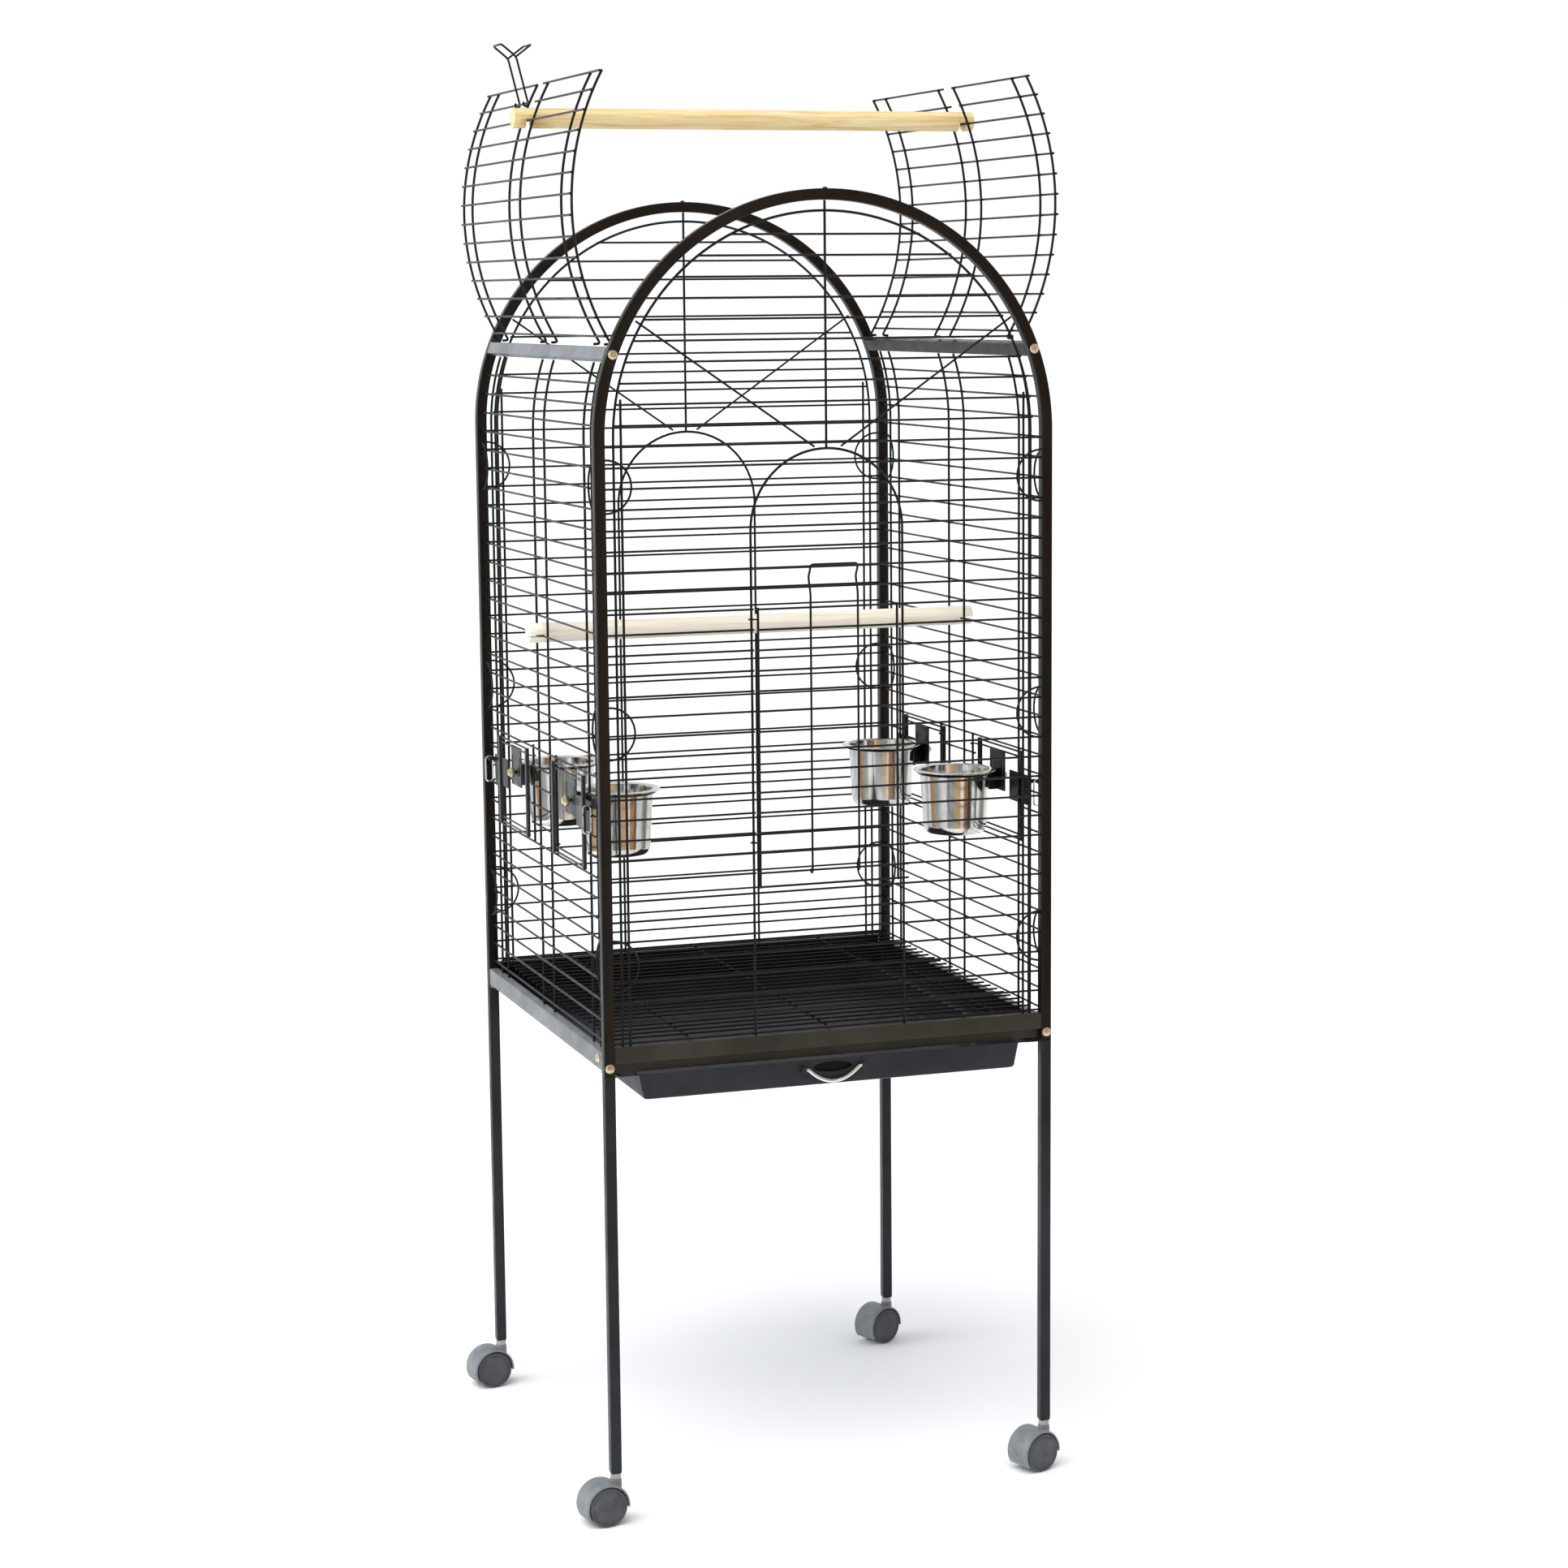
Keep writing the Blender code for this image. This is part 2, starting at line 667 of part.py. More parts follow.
def bolt(name, head, axis, shank):
    """Domed bolt whose head bears on a face; the axis points out of the face."""
    profile = [
        (0.0, BOLT_HEAD_H), (BOLT_HEAD_R * BOLT_CROWN[0], BOLT_HEAD_H * BOLT_CROWN[1]), (BOLT_HEAD_R, AIR + BOLT_RIM),
        (BOLT_HEAD_R, AIR), (BOLT_R, AIR), (BOLT_R, -shank), (0.0, -shank),
    ]
    facing = Vector((0, 0, 1)).rotation_difference(Vector(axis)).to_matrix().to_4x4()
    made = turned(profile, BOLT_STEPS, Matrix.Translation(head) @ facing)
    return finish(made, name, BRASS, smooth=50)


def leg(name, side, end):
    """Square leg tube with a reduced spigot that slides up inside the post."""
    x, y = side * POST, end * POST
    top = POST_BOTTOM - AIR
    half = TUBE / 2
    body = box((x - half, y - half, LEG_BOTTOM), (x + half, y + half, top))
    spigot = box((x - SPIGOT / 2, y - SPIGOT / 2, top - half), (x + SPIGOT / 2, y + SPIGOT / 2, top + SPIGOT_TALL))
    combine(body, spigot)
    room = half - WALL
    bore = box((x - room, y - room, LEG_BOTTOM - half), (x + room, y + room, top - LEG_PLUG))
    combine(body, bore, "DIFFERENCE")
    finish(body, name, LEG_PAINT)
    return bored(body, name + "_hole", [rod((x, y, BOLT_Z), (0, 1, 0), HOLE_R, TUBE * 2, HOLE_SIDES)])


def castor(corner, side, end):
    """Swivel housing with its hood and stem, and the wheel pair on its axle."""
    x, y = side * POST, end * POST
    turn = Matrix.Rotation(math.radians(SWIVEL_DEG[corner]), 4, "Z")
    place = Matrix.Translation((x, y, 0)) @ turn
    hub = (-TRAIL, WHEEL_R)
    outline = arc(hub, HOOD_R, HOOD_FROM_DEG, HOOD_TO_DEG, HOOD_STEPS)
    outline += arc(hub, WEB_LOW_R, HOOD_TO_DEG, 360 + HOOD_FROM_DEG, WEB_STEPS)
    upright = Matrix(((1, 0, 0, 0), (0, 0, 1, 0), (0, 1, 0, 0), (0, 0, 0, 1)))
    housing = plate(outline, HOOD_HALF * 2, upright)
    tidy(housing.data)
    collar_low = WHEEL_R + COLLAR_RISE
    collar = rod((0, 0, (collar_low + LEG_BOTTOM - AIR) / 2), (0, 0, 1), COLLAR_R,
                 LEG_BOTTOM - AIR - collar_low, COLLAR_SIDES)
    combine(housing, collar)
    for face in (-1, 1):
        reach = HOOD_HALF * 2
        hollow = rod((hub[0], face * (WEB / 2 + reach / 2), hub[1]), (0, 1, 0), WHEEL_R + HOOD_GAP, reach,
                     WHEEL_STEPS, math.pi / WHEEL_STEPS)
        combine(housing, hollow, "DIFFERENCE")
    stem = rod((0, 0, (LEG_BOTTOM - STEM_ROOT + STEM_TOP) / 2), (0, 0, 1), STEM_R,
               STEM_TOP - LEG_BOTTOM + STEM_ROOT, STEM_SIDES)
    combine(housing, stem)
    hole = rod((hub[0], 0, hub[1]), (0, 1, 0), AXLE_HOLE_R, WEB * 2, STEM_SIDES)
    combine(housing, hole, "DIFFERENCE")
    housing.data.transform(place)
    finish(housing, corner + "_castor_housing", HOOD_PLASTIC, pivot=(x, y, LEG_BOTTOM), smooth=35)
    inner = WEB / 2 + HOOD_GAP / 2
    outer = inner + WHEEL_WIDE
    profile = [
        (0.0, outer), (WHEEL_R - WHEEL_EDGE, outer), (WHEEL_R, outer - WHEEL_EDGE),
        (WHEEL_R, inner), (AXLE_R, inner),
    ]
    profile += [(radius, -height) for radius, height in reversed(profile)]
    axle = Matrix.Translation((hub[0], 0, hub[1])) @ Matrix.Rotation(math.radians(90), 4, "X")
    wheel = turned(profile, WHEEL_STEPS, place @ axle)
    centre = place @ Vector((hub[0], 0, hub[1]))
    finish(wheel, corner + "_castor_wheel", WHEEL_PLASTIC, pivot=centre, parent=housing, smooth=35)
    return housing


def welded_bar(x, y, low, high, inward):
    """A bar welded to the lowest rows and passing the rows above them."""
    return [(x, y, low), (x, y, low + ROW_PITCH), (x, y + inward, low + ROW_PITCH + JOG), (x, y + inward, high)]


def post_loops(welded, passing, to_world):
    """Half-round loops that tie both edges of a panel to the posts."""
    paths = []
    for side in (-1, 1):
        for z in LOOP_Z:
            loop = arc((side * (BUTT - LOOP_SHY), z), LOOP_R, 90, 90 + side * 180, LOOP_STEPS)
            path = []
            for i, (across, up) in enumerate(loop):
                path.append(to_world(across, welded if i <= LOOP_STEPS // 2 else passing, up))
            paths.append(path)
    return paths


def end_grille(name, end, door):
    """Front or rear panel: rows, edge wire, outline, diagonals and post loops."""
    plane = end * FRONT_ROW
    behind = end * (FRONT_ROW - LAP)
    rows = []
    for i in range(ROWS_STRAIGHT):
        z = row_z(i)
        if door and DOOR_LOW <= i <= DOOR_HIGH:
            gate = OUTLINE_X - ROW_OVER
            rows.append([(-BUTT, plane, z), (-gate, plane, z)])
            rows.append([(gate, plane, z), (BUTT, plane, z)])
        else:
            rows.append([(-BUTT, plane, z), (BUTT, plane, z)])
    for i in range(ROWS_STRAIGHT, ROWS_STRAIGHT + ROWS_ARCH):
        z = row_z(i)
        reach = math.sqrt(EDGE_R ** 2 - (z - ARCH_Z) ** 2) + ROW_OVER
        rows.append([(-reach, plane, z), (reach, plane, z)])
    foot = RAIL_TOP + AIR
    free = -end * (CLEAR - LAP)
    edge = [(-EDGE_R, behind, foot)]
    for x, z in arc((0, ARCH_Z), EDGE_R, 180, 0, EDGE_STEPS):
        edge.append((x, behind + (free if x > EDGE_R / 4 else 0), z))
    if door:
        edge.append((EDGE_R, behind + free, row_z(DOOR_HIGH) + JOG))
        edge.append((EDGE_R, behind, row_z(DOOR_HIGH) + ROW_OVER))
        edge.append((EDGE_R, behind, foot))
    else:
        edge.append((EDGE_R, behind + free, foot))
    bars = []
    for side in (-1, 1):
        bars.append(welded_bar(side * EXTRA_X, behind, foot, EXTRA_TOP, free))
    outline = welded_bar(-OUTLINE_X, behind, foot, OUTLINE_SPRING, free)[:3]
    curve = arc((0, OUTLINE_SPRING), OUTLINE_X, 180, 0, OUTLINE_STEPS)
    outline += [(x, behind + free, z) for x, z in curve]
    outline += [(-x, y, z) for x, y, z in reversed(outline[:3])]
    bars.append(outline)
    top = ARCH_Z + INNER - AIR
    low = OUTLINE_SPRING + OUTLINE_X + BAR_R * BAR_BITE
    last = row_z(ROWS_STRAIGHT + ROWS_ARCH - 1)
    centre = [(0, behind + free, low), (0, behind + free, last - JOG), (0, behind, last - JOG_END), (0, behind, top)]
    base = wires(rows, ROW_R)
    combine(base, wires([edge], BAR_R))
    combine(base, wires(bars, BAR_R))
    combine(base, wires([centre], BAR_R))
    ahead = end * (FRONT_ROW + LAP)
    loops = post_loops(ahead, end * (FRONT_ROW + CLEAR), lambda across, plane_y, up: (across, plane_y, up))
    slants = []
    for side in (-1, 1):
        slants.append([(side * DIAGONAL_LOW[0], ahead, DIAGONAL_LOW[1]),
                       (side * DIAGONAL_HIGH[0], ahead, DIAGONAL_HIGH[1])])
    combine(base, wires(loops, ROW_R))
    combine(base, wires(slants, ROW_R))
    return finish(base, name, WIRE_PAINT)


def side_grille(name, side):
    """Side panel with two feeder openings; its top follows the arch inward."""
    def spot(radius, z):
        """X of a wire at a height, straight below the arch centre and bent above."""
        if z <= ARCH_Z:
            return side * radius
        return side * math.sqrt(radius ** 2 - (z - ARCH_Z) ** 2)

    rows = []
    for i in range(SIDE_ROWS):
        z = row_z(i)
        x = spot(SIDE_ROW, z)
        if FEED_LOW < i < FEED_HIGH:
            near = FEED_HINGE + ROW_OVER
            far = JAMB - ROW_OVER
            for low, high in ((-BUTT, -far), (-near, near), (far, BUTT)):
                rows.append([(x, low, z), (x, high, z)])
        else:
            rows.append([(x, -BUTT, z), (x, BUTT, z)])
    inside = SIDE_ROW - LAP
    passing = SIDE_ROW - CLEAR
    foot = SIDE_TOP + AIR
    last_deg = UPPER_DEG - math.degrees((UPPER_TALL / 2 + AIR) / POST) - UPPER_SHY_DEG

    def bar(y, weld_to):
        """A bar welded up to a height and passing the rows above it."""
        path = [(side * inside, y, foot)]
        radius = inside
        if weld_to < ARCH_Z:
            radius = passing
            path.append((side * inside, y, weld_to))
            path.append((side * passing, y, weld_to + JOG))
        bend = arc((0, ARCH_Z), radius, 0, last_deg, BEND_STEPS)
        return path + [(side * across, y, up) for across, up in bend]

    bars = [bar(-SIDE_OUTER, ARCH_Z), bar(SIDE_OUTER, row_z(FEED_HIGH))]
    for y in (-JAMB, -MIDDLE, MIDDLE, JAMB):
        bars.append(bar(y, RAIL_TOP + AIR + ROW_PITCH))
    low = row_z(FEED_LOW) - ROW_OVER
    high = row_z(FEED_HIGH) + ROW_OVER
    for y in (-FEED_HINGE, FEED_HINGE):
        bars.append([(side * inside, y, low), (side * inside, y, high)])
    base = wires(rows, ROW_R)
    combine(base, wires(bars, BAR_R))
    outside = side * (SIDE_ROW + LAP)
    loops = post_loops(outside, side * (SIDE_ROW + CLEAR), lambda across, plane_x, up: (plane_x, across, up))
    combine(base, wires(loops, ROW_R))
    return finish(base, name, WIRE_PAINT)


def flap_circle():
    """Centre of the arc a flap follows and the angles of its foot and tip."""
    foot = Vector((FLAP_X, FLAP_Z))
    tip = Vector((FLAP_TIP_X, FLAP_TIP_Z))
    chord = tip - foot
    half = chord.length / 2
    inward = Vector((-chord.y, chord.x)).normalized()
    centre = (foot + tip) / 2 + inward * math.sqrt(FLAP_R ** 2 - half ** 2)
    start = math.degrees(math.atan2(foot.y - centre.y, foot.x - centre.x))
    stop = math.degrees(math.atan2(tip.y - centre.y, tip.x - centre.x))
    return centre, start, stop


FLAP_CENTRE, FLAP_START, FLAP_STOP = flap_circle()
FLAP_ROW_R = FLAP_R + LAP - FLAP_SAG
FLAP_ARC = math.radians(FLAP_STOP - FLAP_START) * FLAP_R
FLAP_ROWS = 1 + int((FLAP_ARC - FLAP_TOE_GAP) / FLAP_PITCH)


def flap_spot(row, radius):
    """X and Z of a flap row, counted from the tip."""
    angle = math.radians(FLAP_STOP) - row * FLAP_PITCH / FLAP_R
    return (FLAP_CENTRE.x + radius * math.cos(angle), FLAP_CENTRE.y + radius * math.sin(angle))


def top_flap(name, side):
    """Curved top flap: rows along the cage, three pairs of bars with bent feet."""
    rows = []
    for i in range(FLAP_ROWS):
        x, z = flap_spot(i, FLAP_ROW_R)
        reach = FLAP_EDGES[0] + ROW_OVER
        if i < FLAP_CUT_ROWS:
            rows.append([(side * x, -reach, z), (side * x, -FLAP_CUT, z)])
            rows.append([(side * x, FLAP_CUT, z), (side * x, reach, z)])
        else:
            rows.append([(side * x, -reach, z), (side * x, reach, z)])
    rail = math.radians(UPPER_DEG)
    toe = (FLAP_X + FLAP_FOOT * math.cos(rail) + FLAP_FOOT_DROP * math.sin(rail),
           FLAP_Z + FLAP_FOOT * math.sin(rail) - FLAP_FOOT_DROP * math.cos(rail))
    bars = []
    for y in (-FLAP_EDGES[0], -FLAP_EDGES[1], -MIDDLE, MIDDLE, FLAP_EDGES[1], FLAP_EDGES[0]):
        path = [(side * toe[0], y, toe[1])]
        welded = y == -FLAP_EDGES[0]
        stop = FLAP_STOP + math.degrees(ROW_OVER / FLAP_R)
        knee = arc(FLAP_CENTRE, FLAP_R, FLAP_START, FLAP_START + FLAP_KNEE_DEG, 1)
        spots = knee + arc(FLAP_CENTRE, FLAP_R, FLAP_START, stop, FLAP_STEPS)[1:]
        for i, (x, z) in enumerate(spots):
            away = Vector((x, z)) - FLAP_CENTRE
            shift = 0.0 if welded or i >= FLAP_STEPS - 1 else CLEAR - LAP + FLAP_SAG
            spot = FLAP_CENTRE + away.normalized() * (FLAP_R - shift)
            path.append((side * spot.x, y, spot.y))
        bars.append(path)
    base = wires(rows, ROW_R)
    combine(base, wires(bars, BAR_R))
    return finish(base, name, WIRE_PAINT, pivot=(side * FLAP_X, 0, FLAP_Z))


def top_latch(flap):
    """Wire latch that rides on a row of the left flap and leans outward."""
    x, z = flap_spot(1, FLAP_ROW_R)
    x = -x
    lean = math.radians(TOP_LATCH_LEAN_DEG)
    up = Vector((-math.sin(lean), math.cos(lean)))
    out = Vector((-math.cos(lean), -math.sin(lean)))
    pivot = Vector((x, z))
    feet = []
    for y in TOP_LATCH_Y:
        curl = []
        for turn in TOP_LATCH_CURL_DEG:
            angle = math.radians(turn)
            spot = pivot + TOP_LATCH_EYE * (-out * math.cos(angle) - up * math.sin(angle))
            curl.append((spot.x, y, spot.y))
        curl.reverse()
        top = pivot - out * TOP_LATCH_EYE + up * TOP_LATCH_TALL
        curl.append((top.x, y, top.y))
        feet.append(curl)
    outer = feet[0] + [(-TOP_LATCH_OUT, TOP_LATCH_Y[0], TOP_LATCH_HEAD),
                       (-TOP_LATCH_OUT, TOP_LATCH_Y[1], TOP_LATCH_HEAD)] + list(reversed(feet[1]))
    crown_0 = feet[0][-1]
    crown_1 = feet[1][-1]
    inner = [crown_0, (-TOP_LATCH_IN, TOP_LATCH_Y[0], TOP_LATCH_HEAD),
             (-TOP_LATCH_IN, TOP_LATCH_Y[1], TOP_LATCH_HEAD), crown_1]
    base = wires([outer], TOP_LATCH_R)
    combine(base, wires([inner], TOP_LATCH_INNER_R))
    return finish(base, "top_latch", WIRE_PAINT, pivot=(pivot.x, 0, pivot.y), parent=flap)


def perches():
    """Inner perch slit at its ends, and the top perch notched from below."""
    inner = rod((0, 0, INNER_PERCH_Z), (1, 0, 0), PERCH_R, INNER_PERCH_X * 2, PERCH_STEPS)
    slit_z = row_z(SLIT_ROW)
    tall = ROW_R + AIR
    for side in (-1, 1):
        ends = sorted((side * (INNER_PERCH_X - SLIT_DEEP), side * (INNER_PERCH_X + SLIT_DEEP)))
        slit = box((ends[0], -PERCH_R * 2, slit_z - tall), (ends[1], PERCH_R * 2, slit_z + tall))
        combine(inner, slit, "DIFFERENCE")
    finish(inner, "inner_perch", PALE_WOOD, smooth=35)
    seat_x, seat_z = flap_spot(SEAT_ROW, FLAP_ROW_R)
    axis_z = seat_z + SEAT_DROP
    long = TOP_PERCH_LEFT + TOP_PERCH_RIGHT
    middle = (TOP_PERCH_RIGHT - TOP_PERCH_LEFT) / 2
    top = rod((middle, 0, axis_z), (1, 0, 0), PERCH_R, long, PERCH_STEPS)
    for side in (-1, 1):
        walls = sorted((side * (seat_x + ROW_R + AIR), side * (seat_x - NOTCH_INSIDE)))
        notch = box((walls[0], -PERCH_R * 2, axis_z - PERCH_R * 2),
                    (walls[1], PERCH_R * 2, seat_z + ROW_R + AIR))
        combine(top, notch, "DIFFERENCE")
    finish(top, "top_perch", WOOD, pivot=(0, 0, axis_z), smooth=35)


def front_door():
    """Wire door hung by two wire eyes on the outline wire, opening outward."""
    plane = -DOOR_ROW
    behind = -(DOOR_ROW - LAP)
    rows = [[(-DOOR_LEFT - DOOR_OVER, plane, DOOR_BOTTOM), (DOOR_LAP, plane, DOOR_BOTTOM)]]
    for i in range(DOOR_LOW, DOOR_HIGH + 1):
        rows.append([(-DOOR_LEFT - DOOR_OVER, plane, row_z(i)), (DOOR_LAP, plane, row_z(i))])
    low = DOOR_BOTTOM - ROW_OVER
    high = row_z(DOOR_HIGH) + ROW_OVER
    bars = [[(-DOOR_LEFT, behind, low), (-DOOR_LEFT, behind, high)],
            welded_bar(DOOR_RIGHT, behind, low, high, CLEAR - LAP)]
    base = wires(rows, ROW_R)
    combine(base, wires(bars, BAR_R))
    hinge = (-OUTLINE_X, -(FRONT_ROW - CLEAR))
    eyes = []
    for index in (DOOR_LOW + 1, DOOR_HIGH - 1):
        z = row_z(index) + ROW_PITCH / 2
        ring = [(-DOOR_LEFT, behind)] + arc(hinge, EYE_R, -EYE_FROM_DEG, -EYE_TO_DEG, EYE_STEPS)
        eyes.append([(x, y, z) for x, y in ring])
    combine(base, wires(eyes, EYE_WIRE))
    door = finish(base, "front_door", WIRE_PAINT, pivot=(hinge[0], hinge[1], row_z(DOOR_LOW)))
    front = -(DOOR_ROW + ROW_R + AIR + LATCH_R)
    pivot_z = row_z(DOOR_LOW)
    reach = ROW_R + AIR + LATCH_R
    kink = [(z, front + push) for z, push in LATCH_KINK] + [(LATCH_BAR_Z, front)]

    def side_path(x):
        """One leg of the latch from its curled foot to the top bar."""
        path = []
        for turn in LATCH_CURL_DEG:
            angle = math.radians(turn)
            path.append((x, plane + reach * math.cos(angle), pivot_z - reach * math.sin(angle)))
        path.append((x, front, pivot_z))
        path += [(x, y, z) for z, y in kink]
        return path

    path = side_path(LATCH_X[0]) + list(reversed(side_path(LATCH_X[1])))
    latch = wires([path], LATCH_R)
    finish(latch, "door_latch", WIRE_PAINT, pivot=((LATCH_X[0] + LATCH_X[1]) / 2, plane, pivot_z), parent=door)


def floor_grate():
    """Fixed wire floor above the tray."""
    low_z = RAIL_TOP + AIR + BAR_R
    cross_z = low_z + CLEAR - LAP
    wire_z = cross_z + LAP
    rows = []
    for i in range(GRATE_WIRES):
        y = -GRATE_HALF_Y + 2 * GRATE_HALF_Y * i / (GRATE_WIRES - 1)
        rows.append([(-GRATE_HALF_X, y, wire_z), (GRATE_HALF_X, y, wire_z)])
    base = wires(rows, ROW_R)
    bars = [[(0, -GRATE_CROSS_Y, cross_z), (0, GRATE_CROSS_Y, cross_z)]]
    first = -GRATE_HALF_Y + ROW_OVER
    for x in GRATE_CROSS:
        bars.append([(x, -GRATE_CROSS_Y, cross_z), (x, first, cross_z), (x, first + GRATE_JOG, low_z),
                     (x, GRATE_CROSS_Y, low_z)])
    combine(base, wires(bars, BAR_R))
    return finish(base, "floor_grate", WIRE_PAINT)


def tapered_box(top_x, low_x, y_low, y_high, z_low, z_high):
    """A box whose sides lean inward toward the bottom."""
    shape = box((-1, y_low, z_low), (1, y_high, z_high))
    for vertex in shape.data.vertices:
        wide = top_x if vertex.co.z > (z_low + z_high) / 2 else low_x
        vertex.co.x = math.copysign(wide, vertex.co.x)
    return shape


def tray():
    """Pull-out tray with side lips, two lugs and a hanging bail handle."""
    body = tapered_box(TRAY_X, TRAY_X - TRAY_TAPER, -TRAY_FRONT, TRAY_REAR, TRAY_BOTTOM, TRAY_TOP)
    for side in (-1, 1):
        ends = sorted((side * (TRAY_X - LIP_ROOT), side * LIP_X))
        lip = box((ends[0], -TRAY_FRONT + LIP_FRONT_IN, LEDGE_Z + AIR),
                  (ends[1], TRAY_REAR - LIP_REAR_IN, LEDGE_Z + AIR + SHEET))
        combine(body, lip)
        centre = side * (HANDLE_X + LUG_W / 2 + AIR)
        lug = box((centre - LUG_W / 2, -TRAY_FRONT - LUG_D, HANDLE_Z - LUG_H / 2),
                  (centre + LUG_W / 2, -TRAY_FRONT + TRAY_WALL / 2, HANDLE_Z + LUG_H / 2))
        combine(body, lug)
    lean = TRAY_TAPER / (TRAY_TOP - TRAY_BOTTOM)
    rise = 0.010
    room = tapered_box(TRAY_X - TRAY_WALL + lean * rise, TRAY_X - TRAY_TAPER - TRAY_WALL + lean * TRAY_WALL,
                       -TRAY_FRONT + TRAY_WALL, TRAY_REAR - TRAY_WALL, TRAY_BOTTOM + TRAY_WALL, TRAY_TOP + rise)
    combine(body, room, "DIFFERENCE")
    pin_y = -TRAY_FRONT - LUG_OUT
    done = finish(body, "tray", TRAY_PAINT, pivot=(0, -TRAY_FRONT, TRAY_BOTTOM))
    tools = [rod((0, pin_y, HANDLE_Z), (1, 0, 0), LUG_HOLE_R, HANDLE_X * 4, HOLE_SIDES)]
    bored(done, "tray_lug_holes", tools)
    end_x = HANDLE_X + AIR + LUG_W - HANDLE_PIN_SHY
    path = [(-end_x, pin_y, HANDLE_Z)]
    for i in range(HANDLE_STEPS + 1):
        share = 2 * i / HANDLE_STEPS - 1
        drop = (HANDLE_Z - HANDLE_LOW) * (1 - abs(share) ** HANDLE_SAG_POWER)
        path.append((share * (HANDLE_X - HANDLE_R), pin_y, HANDLE_Z - drop))
    path.append((end_x, pin_y, HANDLE_Z))
    bail = wires([path], HANDLE_R)
    finish(bail, "tray_handle", CHROME, pivot=(0, pin_y, HANDLE_Z), parent=done, smooth=35)


